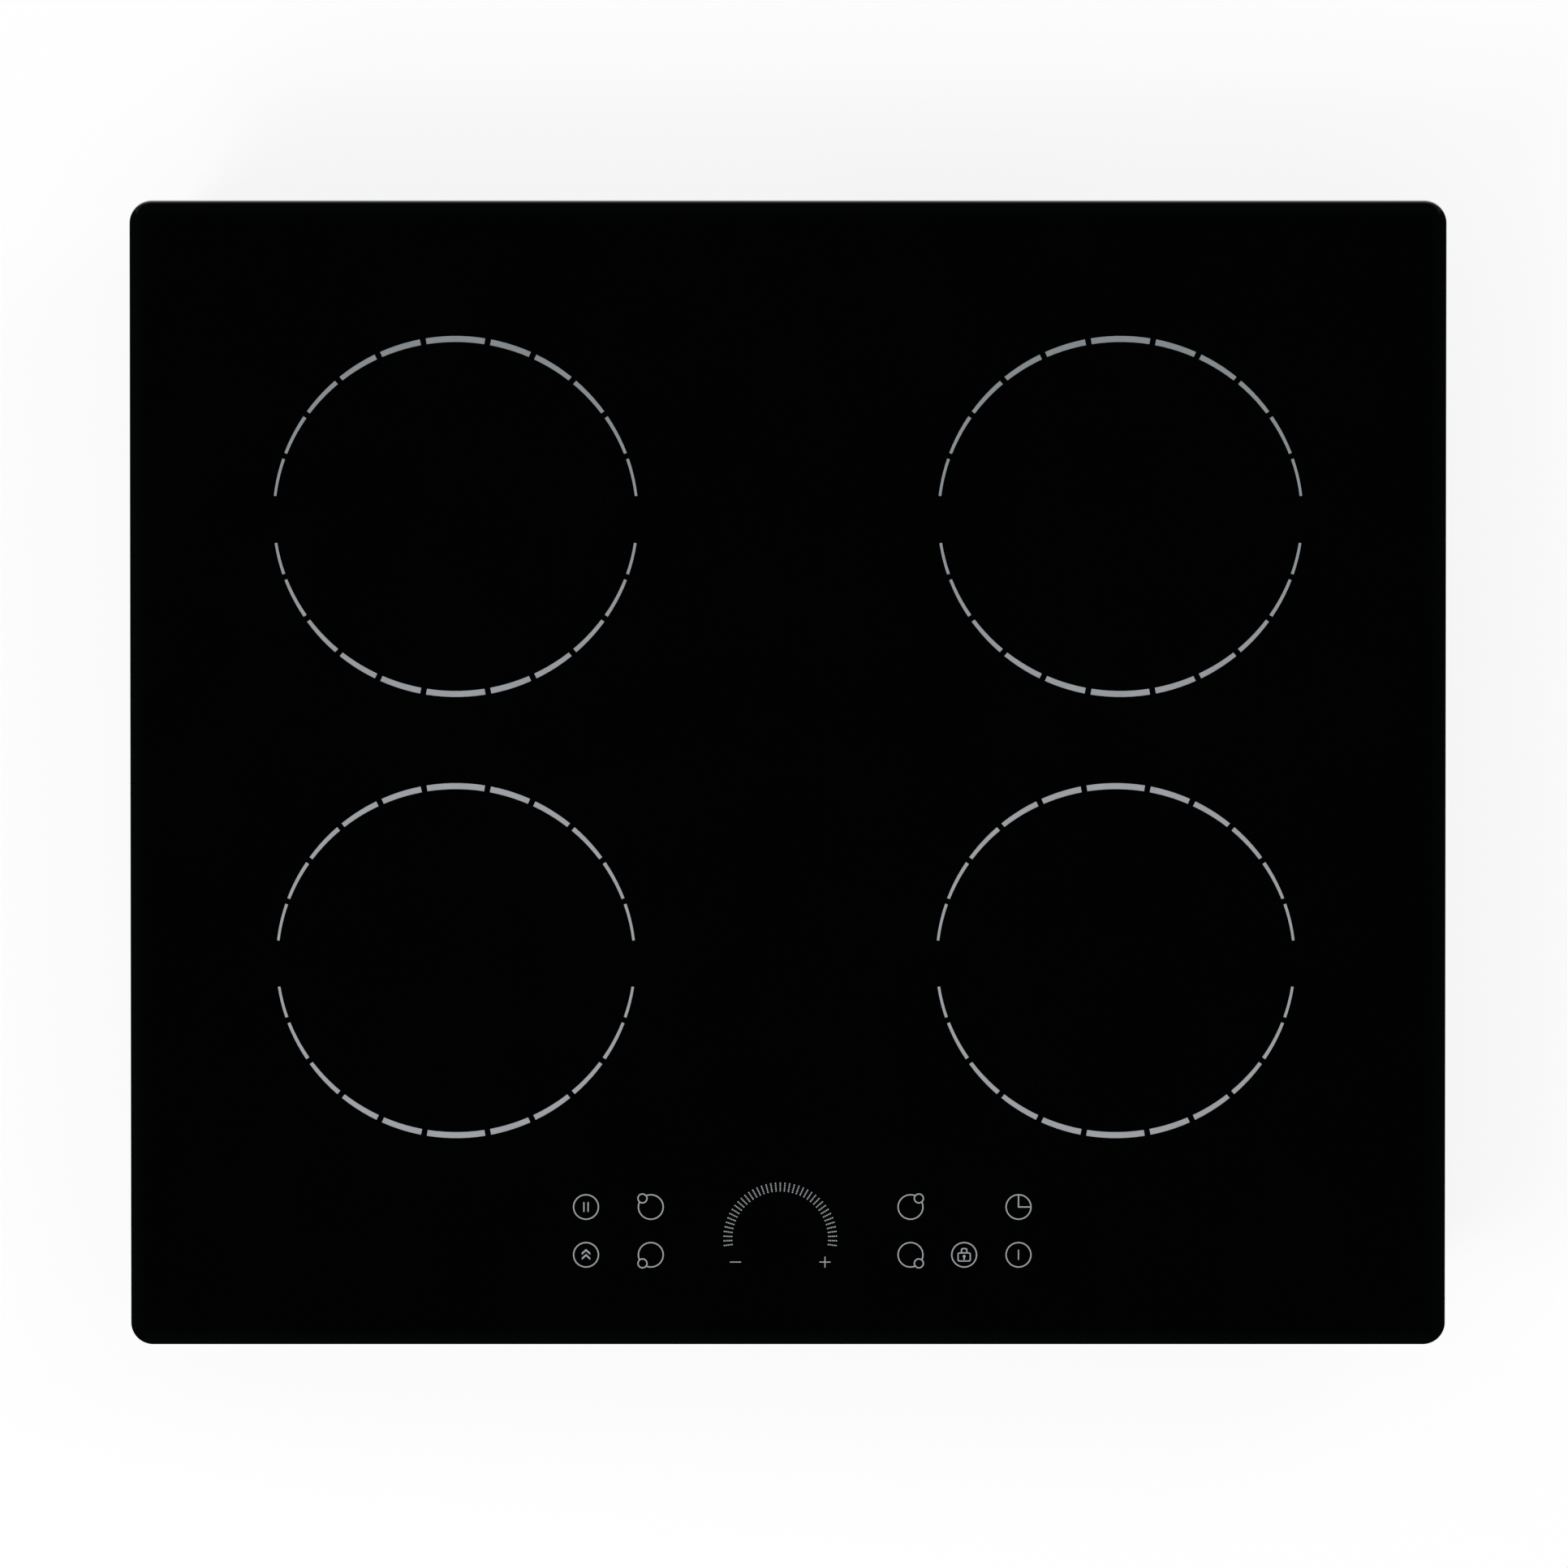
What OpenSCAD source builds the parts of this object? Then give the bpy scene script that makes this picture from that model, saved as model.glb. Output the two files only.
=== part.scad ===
// Built-in electric induction cooktop with four cooking zones.
// Origin: centre of the underside. +X right, -Y towards the user, +Z up. Millimetres.

/* [Overall] */
// Width of the glass, left to right
glass_w = 590; // [580:5:720]
// Depth of the glass, front to back
glass_d = 520; // [510:5:640]
// Height from the underside of the tray to the cooking surface
overall_h = 58; // [56:1:72]

/* [Glass] */
// Thickness of the glass
glass_t = 4; // [3:0.5:6]
// Radius of the four corners in plan
glass_r = 10; // [4:1:20]
// Width of the ground bevel on the front and side edges
bevel_w = 5; // [2:0.5:7]
// Height that the bevel takes off the edge
bevel_h = 1.2; // [0.4:0.2:2]
// Thickness of the enamel print
print_t = 0.05; // [0.03:0.01:0.1]

/* [Cooking zones] */
// Distance of the zone centres from the centre line
zone_x = 149; // [145:1:175]
// Distance of the rear zone centres behind the centre
zone_rear_y = 117; // [112:1:122]
// Distance of the front zone centres in front of the centre
zone_front_y = 85; // [84:1:90]
// Outer radius of a rear printed ring
zone_r = 82; // [68:1:92]
// Outer radius of a front printed ring
front_ring_r = 80.8; // [68:0.2:92]
// Distance by which the front right ring is printed inward of its coil
front_right_shift = 2; // [0:0.5:3]
// Width of the printed line at the sides of a ring
zone_line_side = 1.1; // [0.8:0.1:2]
// Width of the printed line at the top and bottom of a ring
zone_line_top = 2.7; // [1:0.1:4]
// Angle from one dash of a ring to the next
dash_pitch = 15; // [15]
// Angle left bare between two dashes
dash_gap = 1.9; // [1:0.1:4]

/* [Controls] */
// Distance of the slider centre from the front edge
dial_inset = 48.4; // [46:0.2:52]
// Sideways place of the slider centre
dial_x = -3.5; // [-8:0.5:8]
// Radius of the innermost dots of the slider
dial_r = 21.8; // [20:0.2:24]
// Ticks of the slider on each side of its middle tick
dial_side_ticks = 20; // [10:1:20]
// Angle between two ticks
tick_pitch = 4.86; // [4:0.02:4.86]
// Dots in one tick
tick_dots = 5; // [3:1:6]
// Distance between the dots of one tick
dot_pitch = 0.86; // [0.8:0.02:1]
// Diameter of one dot
dot_d = 0.66; // [0.4:0.02:0.7]
// Diameter of the ring around a touch key
key_d = 11.7; // [10:0.1:14]
// Width of the printed lines of the keys
key_line = 0.55; // [0.5:0.05:1]
// Distance of the rear row of keys from the front edge
key_rear_inset = 62.8; // [60:0.2:66]
// Distance of the front row of keys from the front edge
key_front_inset = 41; // [36:0.2:44]

/* [Tray] */
// Overhang of the glass past the tray on each side
rim_overhang = 17; // [16:0.5:22]
// Thickness of the steel sheet
sheet_t = 1; // [0.8:0.1:1.2]
// Outer corner radius of the tray
tray_r = 6; // [3:0.5:12]
// Thickness of the seal between glass and worktop
gasket_t = 2; // [1.5:0.5:3]
// Width of the seal
gasket_w = 10; // [6:1:11]

/* [Worktop clamps] */
// Thickness of the worktop that the clamps are set for
worktop_t = 40; // [37:1:42]
// Distance of the clamp pivots in front of and behind the centre
clamp_y = 150; // [140:1:160]
// Reach of a clamp from its pivot to its tip
clamp_reach = 50; // [44:1:54]
// Width of the clamp strip
clamp_w = 20; // [14:1:20]
// Radius of the clamp screws
clamp_screw_r = 2.5; // [2:0.25:3]

/* [Terminal box] */
// Width of the recess for the mains terminals
term_w = 100; // [96:1:112]
// Depth of the recess, from the rear wall inwards
term_d = 60; // [54:1:62]
// Height of the recess
term_h = 30.5; // [28:0.5:33]
// Sideways place of the recess
term_x = 70; // [68:1:74]
// Radius of the largest cord that the cord clamp takes
cord_r = 5.5; // [4:0.25:6]

/* [Blowers] */
// Distance of the blowers from the centre line
blower_x = 155; // [152:1:162]
// Distance of the blowers behind the centre
blower_y = 100; // [98:1:108]
// Outer radius of a blower housing
blower_r = 46; // [40:1:48]
// Height of a blower housing
blower_h = 30; // [26:1:32]
// Gap between the impeller rim and the housing wall
impeller_gap = 6; // [4:0.5:8]

/* [Coils] */
// Outer radius of an induction winding
coil_r = 75; // [62:1:76]
// Inner radius of an induction winding
coil_inner_r = 20; // [16:1:26]
// Thickness of the litz wire
litz_d = 2.6; // [2:0.1:3.4]
// Height of the winding
winding_h = 4; // [3:0.5:5]
// Thickness of the mica sheet on the winding
mica_t = 0.8; // [0.5:0.1:1.2]
// Height of the springs that press a coil against the glass
spring_h = 6.2; // [5:0.1:7]

/* [Power boards] */
// Width of a power board
board_w = 160; // [150:1:164]
// Depth of a power board
board_d = 205; // [190:1:206]
// Distance of the middle of a power board from the centre line
board_x = 155; // [152:1:158]
// Thickness of the circuit boards
pcb_t = 1.6; // [1:0.2:2]

/* [Hidden] */
$fn = 64;

// Heights of the stack under the glass, from the top down
glass_z = overall_h - glass_t;
seat_z = glass_z - gasket_t;
bead_t = 0.8;
frame_t = 1;
flange_z = glass_z - bead_t - frame_t;
winding_z = glass_z - mica_t - winding_h;
carrier_t = 3;
carrier_z = winding_z - carrier_t;
plate_t = 1;
plate_z = carrier_z - spring_h - plate_t;
ferrite_t = 4.5;

// Plan sizes of the tray
tray_w = glass_w - 2 * rim_overhang;
tray_d = glass_d - 2 * rim_overhang;
tray_x = tray_w / 2;
tray_y = tray_d / 2;
wall_gap = 0.3;
cut = 1;

// Zone centres
rear_zones = [[-zone_x, zone_rear_y], [zone_x, zone_rear_y]];
front_zones = [[-zone_x, -zone_front_y], [zone_x, -zone_front_y]];
zones = concat(rear_zones, front_zones);

// Printed rings as centre and outer radius
rings = [[zones[0], zone_r], [zones[1], zone_r], [zones[2], front_ring_r],
    [zones[3] - [front_right_shift, 0], front_ring_r]];

// ---------- Shared shapes ----------

module rounded_rect(w, d, r) {
    square([w - 2 * r, d], center = true);
    square([w, d - 2 * r], center = true);
    for (sx = [-1, 1], sy = [-1, 1])
        translate([sx * (w / 2 - r), sy * (d / 2 - r)]) circle(r = r);
}

// A box from its lowest corner to its highest corner
module span(low, high) translate(low) cube(high - low);

// A profile drawn in Y and Z, carried along X from x0 to x1
module along_x(x0, x1) translate([x0, 0, 0]) rotate([90, 0, 90]) linear_extrude(x1 - x0) children();

// An upright cylinder between two heights
module post(r, z0, z1) translate([0, 0, z0]) cylinder(r = r, h = z1 - z0);

module mirror_if(on) {
    if (on) mirror([1, 0, 0]) children();
    else children();
}

// A point on a smooth curve through p1 and p2, at t from 0 to 1
function curve_point(p0, p1, p2, p3, t) =
    0.5 * (2 * p1 + (p2 - p0) * t + (2 * p0 - 5 * p1 + 4 * p2 - p3) * t * t
    + (3 * p1 - p0 - 3 * p2 + p3) * t * t * t);

// The route with extra points on each stretch, so that its bends are round
function smooth_route(p, n) = concat(
    [for (i = [0:len(p) - 2], j = [0:n - 1])
        curve_point(p[max(i - 1, 0)], p[i], p[i + 1], p[min(i + 2, len(p) - 1)], j / n)],
    [p[len(p) - 1]]);

function unit(v) = v / norm(v);
function tangent(p, i) = unit(p[min(i + 1, len(p) - 1)] - p[max(i - 1, 0)]);
// A direction square to t that never flips along a route
function side_of(t) = abs(t.z) > 0.9 ? unit(cross([0, 1, 0], t)) : unit(cross([0, 0, 1], t));

// Section directions carried along the route without twist
function carry(p, i, side) = i >= len(p) ? [] :
    let (before = tangent(p, max(i - 1, 0)), t = tangent(p, i))
    let (s = unit(side - (side * t) / (1 + before * t) * (before + t)))
    concat([[s, cross(t, s)]], carry(p, i + 1, s));

// A round tube of radius r swept along the points
module tube(p, r, sides = 8) {
    n = len(p);
    frames = carry(p, 0, side_of(tangent(p, 0)));
    points = [for (i = [0:n - 1], k = [0:sides - 1])
        p[i] + r * (cos(360 * k / sides) * frames[i][0] + sin(360 * k / sides) * frames[i][1])];
    walls = [for (i = [0:n - 2], k = [0:sides - 1])
        [i * sides + k, (i + 1) * sides + k, (i + 1) * sides + (k + 1) % sides, i * sides + (k + 1) % sides]];
    caps = [[for (k = [0:sides - 1]) k], [for (k = [sides - 1:-1:0]) (n - 1) * sides + k]];
    polyhedron(points = points, faces = concat(walls, caps));
}

// ---------- Glass and print ----------

// The wedge of glass that grinding takes off one straight edge, on the -Y side
module bevel_wedge(edge, length, w, h)
    along_x(-length / 2 - cut, length / 2 + cut)
        translate([-edge, overall_h])
            polygon([[-cut, -h - cut * h / w], [w, 0], [w, cut], [-cut, cut]]);

arris = 0.8;

module glass_top() color([0.01, 0.01, 0.012]) difference() {
    translate([0, 0, glass_z]) linear_extrude(glass_t) rounded_rect(glass_w, glass_d, glass_r);
    bevel_wedge(glass_d / 2, glass_w, bevel_w, bevel_h);
    for (turn = [90, -90]) rotate(turn) bevel_wedge(glass_w / 2, glass_d, bevel_w, bevel_h);
    rotate(180) bevel_wedge(glass_d / 2, glass_w, arris, arris);
}

// A ring is two half rows of dashes, mirrored left to right. The line is widest
// at the top and bottom, because its inner boundary is an ellipse.
ring_step = 3;
first_gap = 10.3;
upper_end = 83.4;
lower_end = 81.5;
side_gaps = 4;

function ring_outer(r, a) = r * [sin(a), cos(a)];
function ring_inner(r, a) = [sin(a), cos(a)]
    / sqrt(pow(sin(a) / (r - zone_line_side), 2) + pow(cos(a) / (r - zone_line_top), 2));
function dash_outline(r, a0, a1) = let (n = ceil((a1 - a0) / ring_step), s = (a1 - a0) / n)
    concat([for (i = [0:n]) ring_outer(r, a0 + i * s)], [for (i = [n:-1:0]) ring_inner(r, a0 + i * s)]);

module half_ring(r, last) {
    first = first_gap - dash_gap / 2;
    polygon(dash_outline(r, -first, first));
    for (k = [0:side_gaps], side = [0, 1]) {
        start = first_gap + dash_pitch * k + dash_gap / 2;
        stop = k < side_gaps ? start + dash_pitch - dash_gap : last;
        mirror([side, 0]) polygon(dash_outline(r, start, stop));
    }
}

module zone_print() color([0.61, 0.62, 0.64])
    translate([0, 0, overall_h]) linear_extrude(print_t) for (ring = rings) translate(ring[0]) {
        half_ring(ring[1], upper_end);
        rotate(180) half_ring(ring[1], lower_end);
    }

// Places of the keys
dial_y = dial_inset - glass_d / 2;
key_rear_y = key_rear_inset - glass_d / 2;
key_front_y = key_front_inset - glass_d / 2;
boost_x = -90.7;
left_zone_key_x = -61.6;
right_zone_key_x = 55;
lock_x = 79.1;
power_x = 103.5;
step_x = 20.1;
step_drop = 3.3;
step_y = key_front_y - step_drop;
step_mark = 5;
step_line = 0.45;
key_places = [
    [boost_x, key_rear_y], [boost_x, key_front_y],
    [left_zone_key_x, key_rear_y], [left_zone_key_x, key_front_y],
    [right_zone_key_x, key_rear_y], [right_zone_key_x, key_front_y],
    [power_x, key_rear_y], [power_x, key_front_y], [lock_x, key_front_y],
    [dial_x - step_x, step_y], [dial_x + step_x, step_y]
];

module circle_line(r) difference() {
    circle(r = r);
    circle(r = r - key_line);
}

module bar(w, h) square([w, h], center = true);

// A zone key: a ring with a small ring on the side where its zone lies
mark_r = 2.3;
mark_x = 3.75;
mark_y = 3.9;

module zone_key(sx, sy) {
    difference() {
        circle_line(key_d / 2);
        translate([sx * mark_x, sy * mark_y]) circle(r = mark_r - key_line / 2);
    }
    translate([sx * mark_x, sy * mark_y]) circle_line(mark_r);
}

// Two upright bars for a pause
pause_h = 4.4;
pause_gap = 1.9;

module pause_key() {
    circle_line(key_d / 2);
    for (side = [-1, 1]) translate([side * pause_gap / 2, 0]) bar(key_line, pause_h);
}

// Two chevrons that point away from the user for a boost
chevron_w = 3.8;
chevron_rise = 1.7;
chevron_line = 0.95;
chevron_pitch = 2.3;

module chevron() polygon([
    [-chevron_w / 2, 0], [0, chevron_rise], [chevron_w / 2, 0],
    [chevron_w / 2, chevron_line], [0, chevron_rise + chevron_line], [-chevron_w / 2, chevron_line]
]);

module boost_key() {
    circle_line(key_d / 2);
    for (y = [-chevron_pitch, 0]) translate([0, y]) chevron();
}

// A pie line for the timer: straight up and straight right from the middle
module timer_key() {
    circle_line(key_d / 2);
    hand = key_d / 2 - key_line / 2;
    translate([-key_line / 2, -key_line / 2]) square([key_line, hand]);
    translate([-key_line / 2, -key_line / 2]) square([hand, key_line]);
}

power_bar_h = 4.6;

module power_key() {
    circle_line(key_d / 2);
    bar(key_line * 0.9, power_bar_h);
}

// A padlock: a rounded body outline, a narrow shackle and a keyhole
lock_w = 6;
lock_h = 4.2;
lock_r = 0.9;
lock_line = 0.5;
lock_drop = 1;
shackle_w = 2.9;
shackle_h = 2;
keyhole_r = 0.62;

module lock_key() {
    circle_line(key_d / 2);
    translate([0, -lock_drop]) {
        difference() {
            rounded_rect(lock_w, lock_h, lock_r);
            rounded_rect(lock_w - 2 * lock_line, lock_h - 2 * lock_line, lock_r - lock_line / 2);
        }
        difference() {
            translate([0, lock_h / 2]) rounded_rect(shackle_w, 2 * shackle_h, lock_r);
            translate([0, lock_h / 2])
                rounded_rect(shackle_w - 2 * lock_line, 2 * (shackle_h - lock_line), lock_r - lock_line / 2);
            bar(lock_w, lock_h);
        }
        translate([0, keyhole_r / 2]) circle(r = keyhole_r);
        translate([0, -keyhole_r]) bar(keyhole_r, 2 * keyhole_r);
    }
}

module slider_ticks() for (i = [-dial_side_ticks:dial_side_ticks], j = [0:tick_dots - 1])
    rotate(i * tick_pitch) translate([0, dial_r + j * dot_pitch]) circle(d = dot_d, $fn = 8);

module control_print() color([0.61, 0.62, 0.64])
    translate([0, 0, overall_h]) linear_extrude(print_t) {
        translate([dial_x, dial_y]) slider_ticks();
        translate([dial_x - step_x, step_y]) bar(step_mark, step_line);
        translate([dial_x + step_x, step_y]) {
            bar(step_mark, step_line);
            bar(step_line, step_mark);
        }
        translate([boost_x, key_rear_y]) pause_key();
        translate([boost_x, key_front_y]) boost_key();
        translate([left_zone_key_x, key_rear_y]) zone_key(-1, 1);
        translate([left_zone_key_x, key_front_y]) zone_key(-1, -1);
        translate([right_zone_key_x, key_rear_y]) zone_key(1, 1);
        translate([right_zone_key_x, key_front_y]) zone_key(1, -1);
        translate([lock_x, key_front_y]) lock_key();
        translate([power_x, key_rear_y]) timer_key();
        translate([power_x, key_front_y]) power_key();
    }

// ---------- Seal, frame and tray ----------

gasket_inset = 2.5;
gasket_x = glass_w / 2 - gasket_inset;
gasket_y = glass_d / 2 - gasket_inset;

// A flat rectangular ring between two half sizes
module ring_plate(x, y, w, r, h) linear_extrude(h) difference() {
    rounded_rect(2 * x, 2 * y, r);
    rounded_rect(2 * (x - w), 2 * (y - w), max(r - w, 0.5));
}

module rim_gasket() color([0.06, 0.06, 0.065])
    translate([0, 0, seat_z]) ring_plate(gasket_x, gasket_y, gasket_w, glass_r, gasket_t);

// Upper frame: a flange glued to the glass and a skirt inside the tray wall
flange_x = tray_x + 1.5;
flange_y = tray_y + 1.5;
flange_w = 15;
skirt_t = 1.2;
skirt_h = 9;
skirt_x = tray_x - sheet_t - wall_gap / 2;
skirt_y = tray_y - sheet_t - wall_gap / 2;
bead_inset = 3;
bead_w = 8;

module bonding_bead() color([0.15, 0.15, 0.15])
    translate([0, 0, glass_z - bead_t])
        ring_plate(flange_x - bead_inset, flange_y - bead_inset, bead_w, tray_r, bead_t);

// Screws through the side walls: places along the wall, one height for each row
screw_r = 1.5;
screw_play = 0.2;
screw_head_r = 3;
screw_head_t = 1.6;
screw_drop = 5;
screw_len = 6;
frame_screw_z = flange_z - screw_drop;
plate_screw_z = plate_z - screw_drop;
screw_slot_w = 0.8;
screw_slot_len = 3.6;
screw_slot_depth = 1.2;
frame_screws_x = tray_x * 0.7 * [-1, 0, 1];
frame_screws_y = tray_y * 0.75 * [-1, 0, 1];
plate_front_y = -(zone_front_y + zone_r + 3);
plate_rear_y = zone_rear_y + zone_r + 6;
leg_w = 12;
legs_y = [plate_front_y + leg_w, blower_y + 60];
plate_screw_in = 20;
plate_screw_mid = 15;
plate_screws_y = [plate_front_y + plate_screw_in, plate_screw_mid, plate_rear_y - plate_screw_in];

// Places the children on a wall screw axis that points outwards along +X
module at_side_screws(include_plates) {
    for (side = [0, 180]) rotate(side) {
        for (y = frame_screws_y) translate([tray_x, y, frame_screw_z]) rotate([0, 90, 0]) children();
    }
    for (side = [90, 270]) rotate(side) {
        for (x = frame_screws_x) translate([tray_y, x, frame_screw_z]) rotate([0, 90, 0]) children();
    }
    if (include_plates) for (side = [0, 1], y = plate_screws_y)
        mirror([side, 0, 0]) translate([tray_x, y, plate_screw_z]) rotate([0, 90, 0]) children();
}

module side_screws() color([0.62, 0.63, 0.65]) at_side_screws(true) difference() {
    union() {
        post(screw_head_r, 0, screw_head_t);
        post(screw_r, -screw_len, screw_head_t / 2);
    }
    translate([0, 0, screw_head_t]) for (turn = [0, 90])
        rotate(turn) cube([screw_slot_w, screw_slot_len, screw_slot_depth], center = true);
}

module glass_frame() color([0.72, 0.73, 0.75]) difference() {
    union() {
        translate([0, 0, flange_z]) ring_plate(flange_x, flange_y, flange_w, tray_r, frame_t);
        translate([0, 0, flange_z - skirt_h])
            ring_plate(skirt_x, skirt_y, skirt_t, tray_r, skirt_h);
    }
    at_side_screws(false) post(screw_r + screw_play / 2, -screw_len - cut, cut);
}

// Recess at the lower edge of the tray in which a worktop clamp lies
clamp_pocket_d = 38;
clamp_tip_play = 3;
worktop_z = seat_z - worktop_t;
clamp_pocket_h = worktop_z + clamp_tip_play;
clamp_pivot_in = 26;
clamp_x = tray_x - clamp_pivot_in;
clamp_pocket_back = 14;
clamp_pocket_front = clamp_reach + 6;

// Places the children at each clamp pivot, with +X outwards and +Y along the tucked clamp
module at_clamp(side, end) mirror_if(side < 0)
    translate([clamp_x, end * clamp_y, 0]) mirror([0, end > 0 ? 1 : 0, 0]) children();

module clamp_pocket(grow) span(
    [clamp_pivot_in - clamp_pocket_d - grow, -clamp_pocket_back - grow, -cut],
    [clamp_pivot_in + cut, clamp_pocket_front + grow, clamp_pocket_h + grow]);

module clamp_pockets(grow) for (side = [-1, 1], end = [-1, 1]) at_clamp(side, end) clamp_pocket(grow);

// Recess for the mains terminals, open to the rear and downwards
term_x0 = term_x - term_w / 2;
term_x1 = term_x + term_w / 2;
term_y0 = tray_y - term_d;

module term_pocket(grow) span(
    [term_x0 - grow, term_y0 - grow, -cut],
    [term_x1 + grow, tray_y + cut, term_h + grow]);

// Terminal block, seated through the front wall of the recess
block_w = 66;
block_d = 24;
block_h = 14;
block_inset = 5;
block_lip = 2;
block_x0 = term_x0 + block_inset;
block_y0 = term_y0 - block_lip;
block_play = 0.3;

// Hinge of the terminal cover
hinge_r = 3.3;
hinge_y = tray_y - hinge_r - 0.3;
hinge_z = term_h - hinge_r - 0.8;
hinge_pin_r = 1.8;
hinge_play = 0.2;

// Air intake under a blower: slots within a circle
intake_r = 28;
slot_w = 4.5;
slot_pitch = 8;
intake_slots = floor((intake_r - slot_w) / slot_pitch);

module intake_slots_2d() for (i = [-intake_slots:intake_slots]) {
    reach = sqrt(pow(intake_r, 2) - pow(i * slot_pitch, 2));
    translate([i * slot_pitch, 0]) square([slot_w, 2 * reach], center = true);
}

// Exhaust slots in the floor behind the front wall
exhaust_slots = 10;
exhaust_len = 26;
exhaust_y = -tray_y + 24;
exhaust_x = 128;
exhaust_pitch = 9;

module exhaust_2d() for (i = [0:exhaust_slots - 1])
    translate([exhaust_x + i * exhaust_pitch, exhaust_y]) square([slot_w, exhaust_len], center = true);

// Stiffening beads pressed up into the floor
floor_bead_w = 14;
floor_bead_h = 0.8;
floor_bead_x = [-45, 0, 45];
floor_bead_y0 = legs_y[0] + leg_w + sheet_t;
floor_bead_y1 = 105;

module floor_beads(low, high, grow) for (x = floor_bead_x)
    span([x - floor_bead_w / 2 - grow, floor_bead_y0 - grow, low],
        [x + floor_bead_w / 2 + grow, floor_bead_y1 + grow, high]);

// Standoffs clinched into the floor under the filter board
filter_x0 = -104;
filter_x1 = -34;
filter_y0 = 110;
filter_y1 = 215;
board_z = 7;
hole_inset = 5;
standoff_r = 3;
filter_holes = [for (x = [filter_x0 + hole_inset, filter_x1 - hole_inset],
    y = [filter_y0 + hole_inset, filter_y1 - hole_inset]) [x, y]];

module tray_outside() difference() {
    linear_extrude(seat_z) rounded_rect(tray_w, tray_d, tray_r);
    clamp_pockets(0);
    term_pocket(0);
}

module tray_inside() difference() {
    translate([0, 0, sheet_t]) linear_extrude(seat_z)
        rounded_rect(tray_w - 2 * sheet_t, tray_d - 2 * sheet_t, tray_r - sheet_t);
    clamp_pockets(sheet_t);
    term_pocket(sheet_t);
    floor_beads(0, sheet_t + floor_bead_h, sheet_t);
}

module base_tray() color([0.66, 0.68, 0.69]) {
    difference() {
        tray_outside();
        tray_inside();
        floor_beads(-cut, floor_bead_h, 0);
        for (side = [0, 1]) mirror([side, 0, 0]) {
            translate([blower_x, blower_y, -cut]) linear_extrude(sheet_t + 2 * cut) intake_slots_2d();
            translate([0, 0, -cut]) linear_extrude(sheet_t + 2 * cut) exhaust_2d();
        }
        at_side_screws(true) post(screw_r + screw_play, -sheet_t - cut, cut);
        for (side = [-1, 1], end = [-1, 1]) at_clamp(side, end)
            post(clamp_screw_r + screw_play, clamp_pocket_h - cut, clamp_pocket_h + sheet_t + cut);
        span([block_x0 - block_play, term_y0 - sheet_t - cut, term_h - block_h - block_play],
            [block_x0 + block_w + block_play, term_y0 + cut, term_h]);
        translate([term_x0 - sheet_t - cut, hinge_y, hinge_z]) rotate([0, 90, 0])
            cylinder(r = hinge_pin_r + hinge_play, h = term_w + 2 * (sheet_t + cut));
    }
    for (p = filter_holes) translate(p) difference() {
        post(standoff_r, sheet_t, board_z);
        post(screw_r, sheet_t + cut, board_z + cut);
    }
}

// ---------- Terminals ----------

entry_r = 2.4;
entry_d = 12;
terminals = 6;
screw_well_r = 1.92;
barrier_t = 1;
barrier_in = 4;
barrier_depth = 2.5;
block_pitch = block_w / terminals;

module terminal_block() color([0.86, 0.85, 0.80]) difference() {
    span([block_x0, block_y0, term_h - block_h], [block_x0 + block_w, block_y0 + block_d, term_h]);
    for (i = [0:terminals - 1]) translate([block_x0 + (i + 0.5) * block_pitch, 0, 0]) {
        translate([0, block_y0 + block_d + cut, term_h - block_h / 2]) rotate([90, 0, 0])
            cylinder(r = entry_r, h = entry_d + cut);
        translate([0, block_y0 + block_d - entry_d / 2, 0])
            post(screw_well_r, term_h - block_h - cut, term_h - block_h / 2);
    }
    for (i = [1:terminals - 1]) span(
        [block_x0 + i * block_pitch - barrier_t / 2, block_y0 + barrier_in, term_h - block_h - cut],
        [block_x0 + i * block_pitch + barrier_t / 2, block_y0 + block_d + cut,
            term_h - block_h + barrier_depth]);
}

// Cord clamp: a round guide on a pedestal that hangs from the ceiling of the recess
cord_side = 14;
cord_x = term_x1 - cord_side;
cord_z = 12;
cord_wall = 3;
cord_len = 16;
cord_end = 15;
cord_y1 = tray_y - cord_end;
cord_y0 = cord_y1 - cord_len;
pedestal_w = 12;
pedestal_in = 2;
ear_w = 23;
ear_shift = -1;
ear_t = 4;
ear_len = 10;
ear_in = 3;

module cord_clamp() color([0.10, 0.10, 0.11]) difference() {
    union() {
        translate([cord_x, cord_y1, cord_z]) rotate([90, 0, 0])
            cylinder(r = cord_r + cord_wall, h = cord_len);
        span([cord_x - pedestal_w / 2, cord_y0 + pedestal_in, cord_z],
            [cord_x + pedestal_w / 2, cord_y1 - pedestal_in, term_h]);
        translate([cord_x + ear_shift, cord_y0 + ear_in, cord_z])
            span([-ear_w / 2, 0, -ear_t / 2], [ear_w / 2, ear_len, ear_t / 2]);
    }
    translate([cord_x, cord_y1 + cut, cord_z]) rotate([90, 0, 0])
        cylinder(r = cord_r, h = cord_len + 2 * cut);
}

// Cover of the recess: floor, rear wall and side flanges round a hinge barrel
cover_t = 2;
cover_gap = 0.8;
cover_z0 = 0.4;
flange_rise = 6;
notch_r = cord_r + 2;
cover_x0 = term_x0 + cover_gap;
cover_x1 = term_x1 - cover_gap;
cover_y1 = hinge_y + hinge_r;
cover_y0 = term_y0 + cover_gap;
flange_in = 4;
pin_past = 0.3;

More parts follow.
